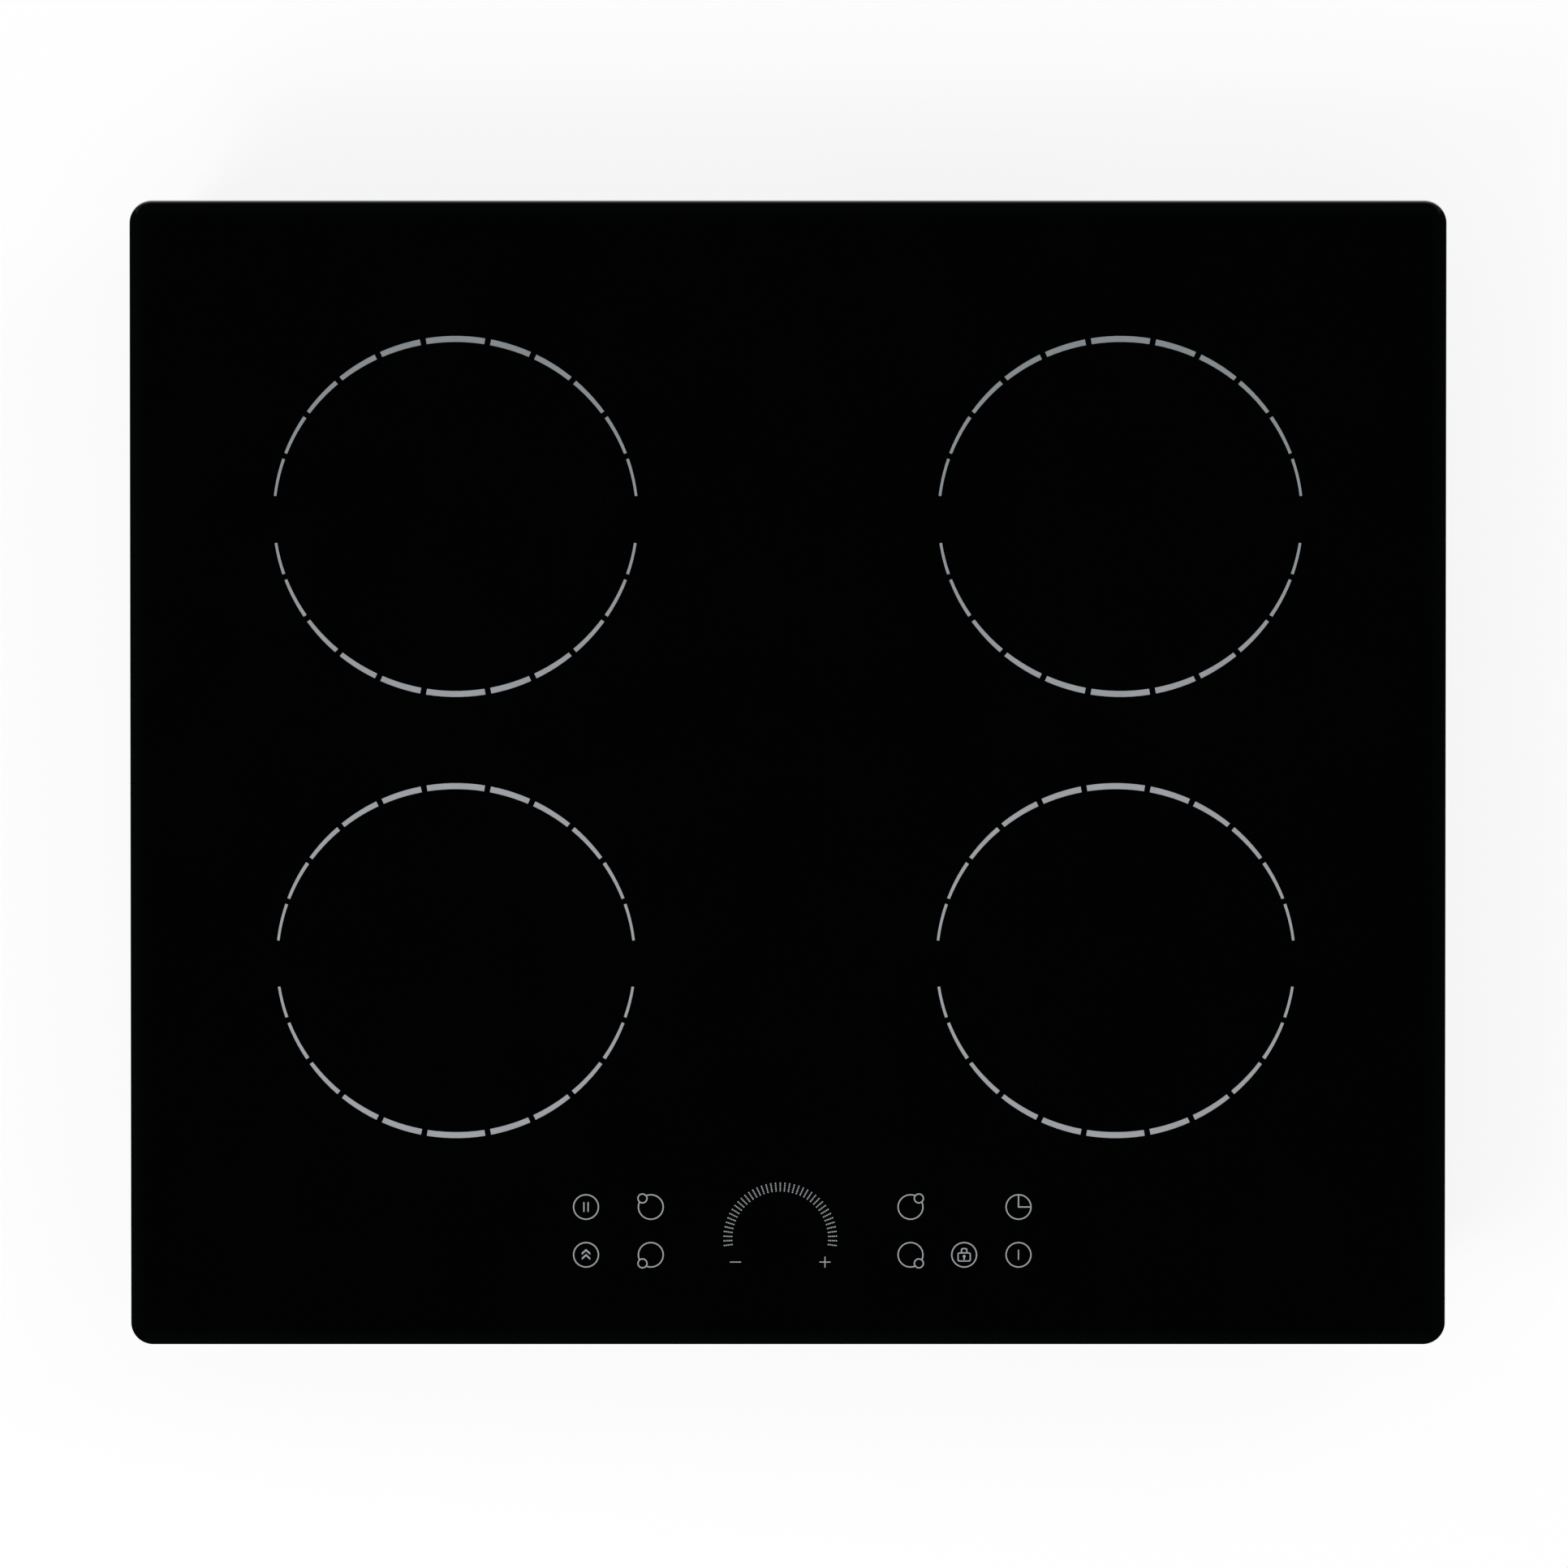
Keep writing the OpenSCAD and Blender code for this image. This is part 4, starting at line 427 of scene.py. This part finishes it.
def make_finishes():
    """One finish for each material slot of the record."""
    return {
        "black_glass": black_glass(),
        "grey_enamel": grey_enamel(),
        "seal_foam": foam("seal_foam", (0.045, 0.045, 0.048)),
        "silicone": silicone(),
        "frame_aluminium": frame_aluminium(),
        "zinc_sheet": zinc_sheet(),
        "zinc_screw": zinc_screw(),
        "black_plastic": moulded("black_plastic", (0.020, 0.020, 0.021)),
        "dark_plastic": moulded("dark_plastic", (0.045, 0.047, 0.050), 0.42, 0.6),
        "cream_plastic": moulded("cream_plastic", (0.66, 0.62, 0.50), 0.4, 0.55),
        "white_plastic": moulded("white_plastic", (0.76, 0.76, 0.72), 0.36, 0.5),
        "motor_steel": motor_steel(),
        "red_wire": insulation("red_wire", (0.42, 0.030, 0.020)),
        "brown_wire": insulation("brown_wire", (0.11, 0.045, 0.022)),
        "circuit_board": circuit_board(),
        "sink_aluminium": rolled_aluminium("sink_aluminium", (1, 0.01, 1)),
        "chip_epoxy": moulded("chip_epoxy", (0.018, 0.018, 0.019), 0.5, 0.65, 0.03),
        "blue_film": moulded("blue_film", (0.020, 0.075, 0.260), 0.18, 0.3, 0.01),
        "copper": copper_wire(),
        "mica": mica(),
        "ferrite": ferrite(),
        "spring_steel": plain_steel("spring_steel", (0.48, 0.485, 0.50), 0.2, 0.36),
        "ribbon": ribbon(),
        "display_plastic": display_plastic(),
    }


# ---------- Shapes ----------

class Glass:
    """The glass pane's sizes, read from the frame, with the ground edge as the CAD part has it."""
    radius = 10 * MM
    bevel_width = 5 * MM
    bevel_height = 1.2 * MM
    arris = 0.8 * MM

    def __init__(self):
        self.low, self.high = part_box("glass_top")
        self.half_x = (self.high.x - self.low.x) / 2
        self.half_y = (self.high.y - self.low.y) / 2


def rounded_rectangle(half_x, half_y, radius, steps=CORNER_STEPS):
    """Points round a rectangle with round corners, each with its outward direction."""
    path = []
    for corner, (side_x, side_y) in enumerate(((1, 1), (-1, 1), (-1, -1), (1, -1))):
        centre = Vector((side_x * (half_x - radius), side_y * (half_y - radius), 0))
        for step in range(steps + 1):
            angle = (corner + step / steps) * math.pi / 2
            outward = Vector((math.cos(angle), math.sin(angle), 0))
            path.append((centre + outward * radius, outward))
    return path


def join_rings(mesh, rings, closed=False):
    """Skins neighbouring rings of vertices with quads, and the last to the first if closed."""
    pairs = list(zip(rings, rings[1:]))
    if closed:
        pairs.append((rings[-1], rings[0]))
    for lower, upper in pairs:
        for i in range(len(lower)):
            j = (i + 1) % len(lower)
            mesh.faces.new((lower[i], lower[j], upper[j], upper[i]))


def close_ends(mesh, rings):
    """Caps the first and the last ring."""
    mesh.faces.new(reversed(rings[0]))
    mesh.faces.new(rings[-1])


def finished_object(name, mesh, material, smooth=True):
    """Turns a bmesh into an object with one material."""
    bmesh.ops.recalc_face_normals(mesh, faces=mesh.faces)
    data = bpy.data.meshes.new(name)
    mesh.to_mesh(data)
    mesh.free()
    data.polygons.foreach_set("use_smooth", [smooth] * len(data.polygons))
    data.materials.append(material)
    made = bpy.data.objects.new(name, data)
    bpy.context.scene.collection.objects.link(made)
    return made


def even_normals(made):
    """Keeps broad faces flat to the eye and lets narrow rounds take the turn."""
    made.modifiers.new("even_normals", "WEIGHTED_NORMAL").weight = 80


def ground_edge(outward):
    """Width and height of the ground edge that faces this way: broad in front, an arris at the rear."""
    rear = min(1.0, max(0.0, outward.y))
    rear = rear * rear * (3 - 2 * rear)
    width = GLASS.bevel_width + (GLASS.arris - GLASS.bevel_width) * rear
    height = GLASS.bevel_height + (GLASS.arris - GLASS.bevel_height) * rear
    return width, height


def glass_profile(outward):
    """The edge of the pane from its underside to its top, as inset and height.

    The seam is the small chamfer at the foot. Soft is the reach of the round at each side of the bevel.
    """
    width, height = ground_edge(outward)
    foot, top = GLASS.low.z, GLASS.high.z
    seam, soft = 0.35 * MM, 0.12 * MM
    shoulder = top - height
    slope = height / width
    return [
        (seam, foot), (seam * 0.3, foot + seam * 0.3), (0, foot + seam),
        (0, shoulder - soft), (soft * 0.3, shoulder), (soft, shoulder + soft * (slope + 0.15)),
        (width - 2 * soft, top - 2 * soft * slope), (width - soft * 0.4, top - soft * slope * 0.6),
        (width + soft, top),
    ]


def glass_pane(material):
    """The glass with seamed edges and a polished bevel."""
    path = rounded_rectangle(GLASS.half_x, GLASS.half_y, GLASS.radius)
    centre = (GLASS.low + GLASS.high) / 2
    profiles = [glass_profile(outward) for _, outward in path]
    mesh = bmesh.new()
    rings = []
    for level in range(len(profiles[0])):
        ring = []
        for (point, outward), profile in zip(path, profiles):
            inset, height = profile[level]
            spot = point - outward * inset
            ring.append(mesh.verts.new((centre.x + spot.x, centre.y + spot.y, height)))
        rings.append(ring)
    join_rings(mesh, rings)
    close_ends(mesh, rings)
    pane = finished_object("glass_pane", mesh, material)
    even_normals(pane)
    return pane


def bulge(value, power):
    """A sine or cosine, pushed towards 1 or -1 by a power below 1. It keeps its sign."""
    return math.copysign(abs(value) ** power, value)


def foam_seal(material):
    """The foam strip under the glass, crowned where it meets the worktop."""
    low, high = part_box("rim_gasket")
    half_width, steps = 5 * MM, 10
    middle_x = (high.x - low.x) / 2 - half_width
    middle_y = (high.y - low.y) / 2 - half_width
    mesh = bmesh.new()
    rings = []
    for step in range(steps + 1):
        angle = math.pi * step / steps
        across = half_width * bulge(math.cos(angle), 0.4)
        height = high.z - (high.z - low.z) * abs(math.sin(angle)) ** 0.5
        ring = []
        for point, outward in rounded_rectangle(middle_x, middle_y, half_width):
            spot = point + outward * across
            ring.append(mesh.verts.new((spot.x, spot.y, height)))
        rings.append(ring)
    join_rings(mesh, rings, closed=True)
    bmesh.ops.remove_doubles(mesh, verts=mesh.verts, dist=WELD)
    return finished_object("foam_seal", mesh, material)


def node_mesh(node):
    """A working copy of a CAD node's mesh, with its corners joined."""
    mesh = bmesh.new()
    mesh.from_mesh(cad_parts[node].data)
    bmesh.ops.remove_doubles(mesh, verts=mesh.verts, dist=WELD)
    return mesh


def faces_below(mesh, height):
    return [face for face in mesh.faces if max(vert.co.z for vert in face.verts) < height]


def islands(node, above=-1.0):
    """The lowest and highest corner of each separate piece of a CAD node above a height."""
    mesh = node_mesh(node)
    bmesh.ops.delete(mesh, geom=faces_below(mesh, above), context="FACES")
    boxes, seen = [], set()
    for start in mesh.verts:
        if start in seen:
            continue
        group, edge = {start}, [start]
        while edge:
            for link in edge.pop().link_edges:
                for vert in link.verts:
                    if vert not in group:
                        group.add(vert)
                        edge.append(vert)
        seen |= group
        spots = [vert.co for vert in group]
        low = Vector(min(s[i] for s in spots) for i in range(3))
        high = Vector(max(s[i] for s in spots) for i in range(3))
        boxes.append((low, high))
    mesh.free()
    return boxes


def round_pad(mesh, low, high):
    """A short foam column, squeezed a little at the waist."""
    steps = 32
    profile = ((0.90, 0), (1.0, 0.08), (0.94, 0.35), (0.92, 0.5), (0.94, 0.65), (1.0, 0.92), (0.90, 1))
    centre, radius = (low + high) / 2, (high.x - low.x) / 2
    rings = []
    for share, up in profile:
        ring = []
        for step in range(steps):
            angle = math.tau * step / steps
            x = centre.x + math.cos(angle) * radius * share
            y = centre.y + math.sin(angle) * radius * share
            ring.append(mesh.verts.new((x, y, low.z + up * (high.z - low.z))))
        rings.append(ring)
    join_rings(mesh, rings)
    close_ends(mesh, rings)


def curved_pad(mesh, low, high):
    """The slider's foam strip: an arc of more than half a turn, open towards the front."""
    steps, width = 96, 4.4 * MM
    outer, middle = (high.x - low.x) / 2, (low + high) / 2
    centre = Vector((middle.x, high.y - outer, middle.z))
    half_angle = math.acos((low.y - centre.y) / outer)
    path = []
    for step in range(steps + 1):
        angle = half_angle * (2 * step / steps - 1)
        path.append(centre + (outer - width / 2) * Vector((math.sin(angle), math.cos(angle), 0)))
    swept(mesh, path, oval(width / 2, (high.z - low.z) / 2, 16, 0.35))


def foam_pads(material):
    """The foam pads that carry touch from glass to board: one for each key and a curved one."""
    mesh = bmesh.new()
    for low, high in islands("touch_pads"):
        is_round = abs((high.x - low.x) - (high.y - low.y)) < MM
        (round_pad if is_round else curved_pad)(mesh, low, high)
    return finished_object("foam_pads", mesh, material)


def swept(mesh, path, section):
    """Sweeps a section along a path. It gives offsets as (sideways, upward), with upward near +Z."""
    rings = []
    for i, point in enumerate(path):
        ahead = (path[min(i + 1, len(path) - 1)] - path[max(i - 1, 0)]).normalized()
        side = ahead.cross(Vector((0, 0, 1)))
        side = side.normalized() if side.length > 0.05 else Vector((1, 0, 0))
        up = side.cross(ahead)
        rings.append([mesh.verts.new(point + side * a + up * b) for a, b in section])
    join_rings(mesh, rings)
    close_ends(mesh, rings)


def oval(half_width, half_height, count, power=1.0):
    """A closed section of points, from an ellipse towards a rounded box as the power falls below 1."""
    points = []
    for i in range(count):
        angle = math.tau * (i + 0.5) / count
        across, up = bulge(math.cos(angle), power), bulge(math.sin(angle), power)
        points.append((half_width * across, half_height * up))
    return points


def mark(made, name, values):
    """Stores one number on each vertex, for the material to read."""
    layer = made.data.attributes.new(name, "FLOAT", "POINT")
    layer.data.foreach_set("value", values)


BOARD_THICK = 1.6 * MM
BOARD_SKIN = 0.05 * MM


def laminate(node):
    """A circuit board's bare laminate, closed where the parts stood."""
    mesh = node_mesh(node)
    upper = set(mesh.faces) - set(faces_below(mesh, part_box(node)[0].z + BOARD_THICK + BOARD_SKIN))
    bmesh.ops.delete(mesh, geom=list(upper), context="FACES")
    bmesh.ops.holes_fill(mesh, edges=[edge for edge in mesh.edges if edge.is_boundary])
    return mesh


def block(mesh, low, high, corner, profile):
    """A rounded rectangle raised in levels: each an inset in millimetres and a share of the height."""
    centre, half = (low + high) / 2, (high - low) / 2
    rings = []
    for inset, share in profile:
        inset *= MM
        radius = max(corner * MM - inset, 0.05 * MM)
        outline = rounded_rectangle(half.x - inset, half.y - inset, radius, steps=5)
        height = low.z + share * (high.z - low.z)
        rings.append([mesh.verts.new((centre.x + spot.x, centre.y + spot.y, height)) for spot, _ in outline])
    join_rings(mesh, rings)
    close_ends(mesh, rings)


def inside(low, high, away_x, away_y, foot=0.0, head=1.0):
    """A smaller box within a box: insets in millimetres, foot and head as shares of the height."""
    tall = high.z - low.z
    return (Vector((low.x + away_x * MM, low.y + away_y * MM, low.z + foot * tall)),
            Vector((high.x - away_x * MM, high.y - away_y * MM, low.z + head * tall)))


def transformer(meshes, low, high):
    """A bobbin with its flange, a taped winding and a ferrite core over it."""
    flange = [(0.3, 0), (0, 0.2), (0, 0.8), (0.3, 1)]
    block(meshes["black_plastic"], *inside(low, high, 0, 0, 0, 0.14), 1.2, flange)
    taped = [(0.5, 0), (0, 0.1), (0.25, 0.3), (0, 0.32), (0.2, 0.6), (0, 0.62), (0.1, 0.9), (0.8, 1)]
    block(meshes["cream_plastic"], *inside(low, high, 4.5, 0.6, 0.12, 0.9), 4.0, taped)
    core = [(0, 0), (0, 0.48), (0.15, 0.5), (0, 0.52), (0, 0.96), (0.4, 1)]
    block(meshes["ferrite"], *inside(low, high, 0, 5.5, 0.12, 1), 0.8, core)


def electrolytic(meshes, low, high):
    """A sleeved can: a crimp near its foot, a rolled shoulder and a bare lid."""
    radius, rim = (high.x - low.x) / 2 / MM, 1.3
    crimp = [(0.3, 0), (0, 0.02), (0, 0.12), (0.5, 0.16), (0.5, 0.19), (0, 0.23)]
    shoulder = [(0, 0.95), (0.35, 0.99), (1.1, 1), (1.4, 0.985)]
    block(meshes["dark_plastic"], low, high, radius, [*crimp, *shoulder])
    lid = inside(low, high, rim, rim, 0.95, 0.993)
    block(meshes["sink_aluminium"], *lid, radius - rim, [(0, 0), (0, 0.9), (0.4, 1)])


def plug_seat(meshes, low, high):
    """A header with an open rim and the plug that is pushed into it."""
    shroud = [(0.25, 0), (0, 0.04), (0, 0.76), (0.2, 0.8), (0.8, 0.8), (0.9, 0.4)]
    block(meshes["cream_plastic"], low, high, 0.6, shroud)
    plug = [(0, 0), (0, 0.55), (0.35, 0.6), (0.35, 0.66), (0, 0.7), (0, 0.95), (0.4, 1)]
    block(meshes["white_plastic"], *inside(low, high, 1.1, 1.1, 0.35, 1), 0.5, plug)


def screw_tab(meshes, low, high):
    """A tinned clamp: a square block with a round head on it."""
    foot = [(0.2, 0), (0, 0.1), (0, 0.8), (0.4, 1)]
    block(meshes["zinc_screw"], *inside(low, high, 0, 0, 0, 0.7), 0.5, foot)
    margin = 0.8
    radius = (high.x - low.x) / 2 / MM - margin
    head = [(0, 0), (0, 0.7), (0.3, 0.95), (0.9, 1)]
    block(meshes["zinc_screw"], *inside(low, high, margin, margin, 0.6, 1), radius, head)


TRANSFORMER_HEIGHT = 17 * MM
CAN_HEIGHT = 10 * MM
PLUG_HEIGHT = 5.5 * MM
PLUG_WIDTH = 10 * MM
STANDING_SLOTS = (
    "black_plastic", "cream_plastic", "ferrite", "dark_plastic", "sink_aluminium", "white_plastic",
    "zinc_screw",
)


def build_standing(meshes, low, high):
    """Builds the part that has this size on a board."""
    wide, tall = high.x - low.x, high.z - low.z
    if tall > TRANSFORMER_HEIGHT:
        transformer(meshes, low, high)
    elif tall > CAN_HEIGHT:
        electrolytic(meshes, low, high)
    elif tall > PLUG_HEIGHT or wide > PLUG_WIDTH:
        plug_seat(meshes, low, high)
    else:
        screw_tab(meshes, low, high)


def board_pieces(node, finishes):
    """A circuit board as pieces, one for each finish, with the slot that each takes."""
    meshes = {slot: bmesh.new() for slot in STANDING_SLOTS}
    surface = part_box(node)[0].z + BOARD_THICK
    for low, high in islands(node, surface + BOARD_SKIN):
        low.z = surface
        build_standing(meshes, low, high)
    mask = finishes["circuit_board"]
    pieces = [(finished_object(node + "_laminate", laminate(node), mask, smooth=False), "circuit_board")]
    for slot, mesh in meshes.items():
        bmesh.ops.remove_doubles(mesh, verts=mesh.verts, dist=WELD)
        if mesh.faces:
            made = finished_object(f"{node}_{slot}", mesh, finishes[slot], smooth=False)
            pieces.append((made, slot))
        else:
            mesh.free()
    return pieces


def litz_winding(node, material):
    """One coil: a flat spiral of twisted litz wire, in the room that the CAD winding holds."""
    low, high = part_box(node)
    centre, outer = (low + high) / 2, (high.x - low.x) / 2
    pitch, turns, lay, strands = 2.6 * MM, 20, 28 * MM, 9
    steps, around = 80, 12
    wire = oval(0.49 * pitch, (high.z - low.z) / 2, around, 0.75)
    path = []
    for i in range(turns * steps + 1):
        angle = math.tau * i / steps
        radius = outer - 0.5 * pitch - pitch * i / steps
        path.append(Vector((radius * math.cos(angle), radius * math.sin(angle), 0)))
    mesh = bmesh.new()
    swept(mesh, path, wire)
    made = finished_object(node.replace("winding", "litz"), mesh, material)
    run, twist = 0.0, []
    for i, point in enumerate(path):
        run += (point - path[max(i - 1, 0)]).length
        twist += [strands * (run / lay + j / around) for j in range(around)]
    mark(made, "twist", twist)
    made.location = centre
    return made


CHOKE_HOLE = 0.42
CHOKE_WIRE = 0.055
CHOKE_FILL = 0.675
CHOKE_SPAN = 0.92
CHOKE_STEPS = 48


def choke_sizes(low, high):
    """A choke's mean radius, half its ring's depth, half its height and the radius of its wire."""
    outer, tall = (high.x - low.x) / 2, (high.z - low.z) / 2
    hole, wire = CHOKE_HOLE * outer, CHOKE_WIRE * outer
    return (outer + hole) / 2, (outer - hole) / 2, tall, wire


def choke_coil(name, low, high, material):
    """One layer of thick enamelled wire round a toroid."""
    middle, reach, tall, wire = choke_sizes(low, high)
    loops, steps = int(CHOKE_FILL * math.pi * (middle - reach) / wire), 20
    path = []
    for i in range(loops * steps + 1):
        round_core = math.tau * i / steps
        turn = math.tau * CHOKE_SPAN * i / (loops * steps)
        away = middle + (reach - wire) * bulge(math.cos(round_core), 0.5)
        up = (tall - wire) * bulge(math.sin(round_core), 0.5)
        path.append(Vector((away * math.cos(turn), away * math.sin(turn), up)))
    mesh = bmesh.new()
    swept(mesh, path, oval(wire, wire, 8))
    made = finished_object(name + "_coil", mesh, material)
    made.location = (low + high) / 2
    return made


def choke_core(name, low, high, material):
    """The ferrite ring inside the winding of a choke."""
    middle, reach, tall, wire = choke_sizes(low, high)
    turns = [math.tau * step / CHOKE_STEPS for step in range(CHOKE_STEPS)]
    mesh = bmesh.new()
    rings = []
    for across, up in oval(reach - 2 * wire, tall - 2 * wire, 16, 0.4):
        away = middle + across
        rings.append([mesh.verts.new((away * math.cos(t), away * math.sin(t), up)) for t in turns])
    join_rings(mesh, rings, closed=True)
    made = finished_object(name + "_core", mesh, material)
    made.location = (low + high) / 2
    return made


def coil_spring(name, low, high, material):
    """A compression spring in the room of its CAD stand-in, with dead turns that lie closed at both ends."""
    centre, wire = (low + high) / 2, 0.45 * MM
    radius, bottom, top = (high.x - low.x) / 2 - wire, low.z + wire, high.z - wire
    turns, steps, dead, closed_pitch = 3.5, 32, 0.75, 2.02 * wire
    path = []
    for i in range(int(turns * steps) + 1):
        turn = i / steps
        angle = math.tau * turn
        rise = min(1.0, max(0.0, (turn - dead) / (turns - 2 * dead)))
        closed = closed_pitch * (min(turn, dead) + max(0.0, turn - turns + dead))
        height = bottom + closed + rise * (top - bottom - 2 * closed_pitch * dead)
        spot = (radius * math.cos(angle), radius * math.sin(angle), height - centre.z)
        path.append(Vector(spot))
    mesh = bmesh.new()
    swept(mesh, path, oval(wire, wire, 8))
    made = finished_object(name, mesh, material)
    made.location = centre
    return made


# ---------- CAD nodes ----------

def dress_nodes(finishes):
    """Gives each CAD node the finish of its own slot."""
    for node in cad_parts.values():
        for slot in node.material_slots:
            slot.material = finishes[slot.material.name.split(".")[0]]


# ---------- Studio ----------

KEY_PLACE = (-2.6, -2.2, 2.4)
FILL_PLACE = (2.9, 2.3, 2.3)
UNDER_PLACE = (0.9, -1.2, -2.4)
LAMP_TARGET = (0, 0, 0.03)
LAMP_SIZE = 2.0
EVEN_LIGHT = 0.62


def lamp(name, place, power):
    """A soft square lamp that looks at the object."""
    data = bpy.data.lights.new(name, "AREA")
    data.shape = "RECTANGLE"
    data.size = LAMP_SIZE
    data.size_y = LAMP_SIZE
    data.energy = power
    made = bpy.data.objects.new(name, data)
    made.location = place
    made.rotation_euler = (Vector(LAMP_TARGET) - Vector(place)).to_track_quat("-Z", "Y").to_euler()
    made.visible_camera = False
    made.visible_glossy = False
    bpy.context.scene.collection.objects.link(made)


def studio_lamps():
    """A key from the front left, a fill from the rear right, one from below. None is reflected."""
    lamp("key", KEY_PLACE, 85)
    lamp("fill", FILL_PLACE, 35)
    lamp("under", UNDER_PLACE, 30)


def climb(degrees):
    """The upward part of a direction that climbs by this angle."""
    return math.sin(math.radians(degrees))


def reflected_room(nodes):
    """What reflections see: white walls, a dim ceiling, black overhead, a soft box, a dimming floor."""
    ray = nodes.add("ShaderNodeTexCoord").outputs["Generated"]
    up = nodes.add("ShaderNodeSeparateXYZ", {0: ray}).outputs["Z"]

    def between(value, low, high, at_low, at_high):
        return nodes.fit(value, low, high, at_low, at_high, interpolation_type="SMOOTHSTEP")

    walls = between(up, climb(4), climb(20), 1.0, 0.0)
    ceiling = between(up, climb(40), climb(52), 0.2, 0.0)
    below = between(up, -0.95, -0.2, 0.5, 1.0)
    key = Vector(KEY_PLACE).normalized()
    near = nodes.add("ShaderNodeVectorMath", {0: ray, 1: key}, operation="DOT_PRODUCT").outputs["Value"]
    box = between(near, 0.945, 0.985, 0.0, 1.4)
    room = nodes.math("MULTIPLY", nodes.math("MAXIMUM", walls, ceiling), below)
    return nodes.math("MAXIMUM", room, box)


def studio_world():
    """White to the camera and through glass, an even grey to the surfaces, a room to reflections."""
    world = bpy.data.worlds.new("studio")
    world.use_nodes = True
    nodes = Nodes(world.node_tree)
    nodes.tree.nodes.clear()

    def background(strength):
        inputs = {"Color": (1, 1, 1, 1), "Strength": strength}
        return nodes.add("ShaderNodeBackground", inputs).outputs[0]

    path = nodes.add("ShaderNodeLightPath").outputs
    even = background(EVEN_LIGHT)
    room = background(reflected_room(nodes))
    white = background(1.0)
    seen = nodes.math("MAXIMUM", path["Is Camera Ray"], path["Is Transmission Ray"])
    indirect = nodes.blend(path["Is Glossy Ray"], even, room)
    nodes.add("ShaderNodeOutputWorld", {"Surface": nodes.blend(seen, indirect, white)})
    bpy.context.scene.world = world


FLOOR_RADIUS = 1.6
FLOOR_DROP = 0.2 * MM
FLOOR_GLOW = 0.83
FADE_START = 0.55
FADE_END = 1.25


def floor_material():
    """A white floor: it keeps the shadow, fades outwards and lets the light from below through."""
    material = bpy.data.materials.new("floor")
    material.use_nodes = True
    nodes = Nodes(material.node_tree)
    nodes.tree.nodes.clear()
    place = nodes.add("ShaderNodeTexCoord").outputs["Object"]
    reach = nodes.add("ShaderNodeVectorMath", {0: place}, operation="LENGTH").outputs["Value"]
    fade = nodes.fit(reach, FADE_START, FADE_END, FLOOR_GLOW, 1.0)
    paper = nodes.add("ShaderNodeBsdfDiffuse", {"Color": (1, 1, 1, 1)}).outputs[0]
    glow = nodes.add("ShaderNodeEmission", {"Strength": 1.0}).outputs[0]
    path = nodes.add("ShaderNodeLightPath").outputs
    seen = nodes.math("MAXIMUM", path["Is Camera Ray"], path["Is Glossy Ray"])
    seen = nodes.math("MAXIMUM", seen, path["Is Transmission Ray"])
    under = nodes.add("ShaderNodeNewGeometry").outputs["Backfacing"]
    shown = nodes.math("SUBTRACT", seen, under, use_clamp=True)
    clear = nodes.add("ShaderNodeBsdfTransparent").outputs[0]
    surface = nodes.blend(shown, clear, nodes.blend(fade, paper, glow))
    nodes.add("ShaderNodeOutputMaterial", {"Surface": surface})
    return material


def studio_floor():
    """A round of plain floor under the object."""
    mesh = bmesh.new()
    bmesh.ops.create_circle(mesh, cap_ends=True, segments=96, radius=FLOOR_RADIUS)
    floor = finished_object("floor", mesh, floor_material(), smooth=False)
    floor.location.z = -FLOOR_DROP


SENSOR_WIDTH = 36
LENS = 1650
CLIP_END = 100
TILT = math.radians(9.6)
WIDTH_SEEN = 0.7033
AIM_X = -1.8 * MM
AIM_Y = -4.6 * MM


def camera():
    """A long lens almost straight above, a little behind the middle, as catalogue pictures are taken."""
    data = bpy.data.cameras.new("camera")
    data.sensor_width = SENSOR_WIDTH
    data.lens = LENS
    data.clip_end = CLIP_END
    distance = WIDTH_SEEN / SENSOR_WIDTH * LENS
    aim = Vector((AIM_X, AIM_Y, GLASS.high.z))
    made = bpy.data.objects.new("camera", data)
    made.location = aim + distance * Vector((0, math.sin(TILT), math.cos(TILT)))
    made.rotation_euler = (-TILT, 0, 0)
    bpy.context.scene.collection.objects.link(made)
    bpy.context.scene.camera = made


def stand_in(piece, node):
    """Puts a finished piece on the main body, in the place of this CAD node."""
    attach(piece, MAIN_BODY)
    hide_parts(node)


GLASS = Glass()
FINISHES = make_finishes()

bpy.context.scene.view_settings.view_transform = "Standard"
camera()
studio_world()
studio_lamps()
studio_floor()
dress_nodes(FINISHES)

stand_in(glass_pane(FINISHES["black_glass"]), "glass_top")

for make_foam, node_name in ((foam_seal, "rim_gasket"), (foam_pads, "touch_pads")):
    soft = make_foam(FINISHES["seal_foam"])
    stand_in(soft, node_name)

LITZ = litz_wire()
for node_name in WINDINGS:
    stand_in(litz_winding(node_name, LITZ), node_name)

for number, (low, high) in enumerate(islands("choke_coils")):
    choke_name = f"choke_{number}"
    stand_in(choke_coil(choke_name, low, high, FINISHES["copper"]), "choke_coils")
    stand_in(choke_core(choke_name, low, high, FINISHES["ferrite"]), "choke_coils")

for number, (low, high) in enumerate(islands("coil_springs")):
    spring = coil_spring(f"coil_spring_{number}", low, high, FINISHES["spring_steel"])
    stand_in(spring, "coil_springs")

for node_name in BOARDS:
    for piece, slot_name in board_pieces(node_name, FINISHES):
        stand_in(piece, node_name)
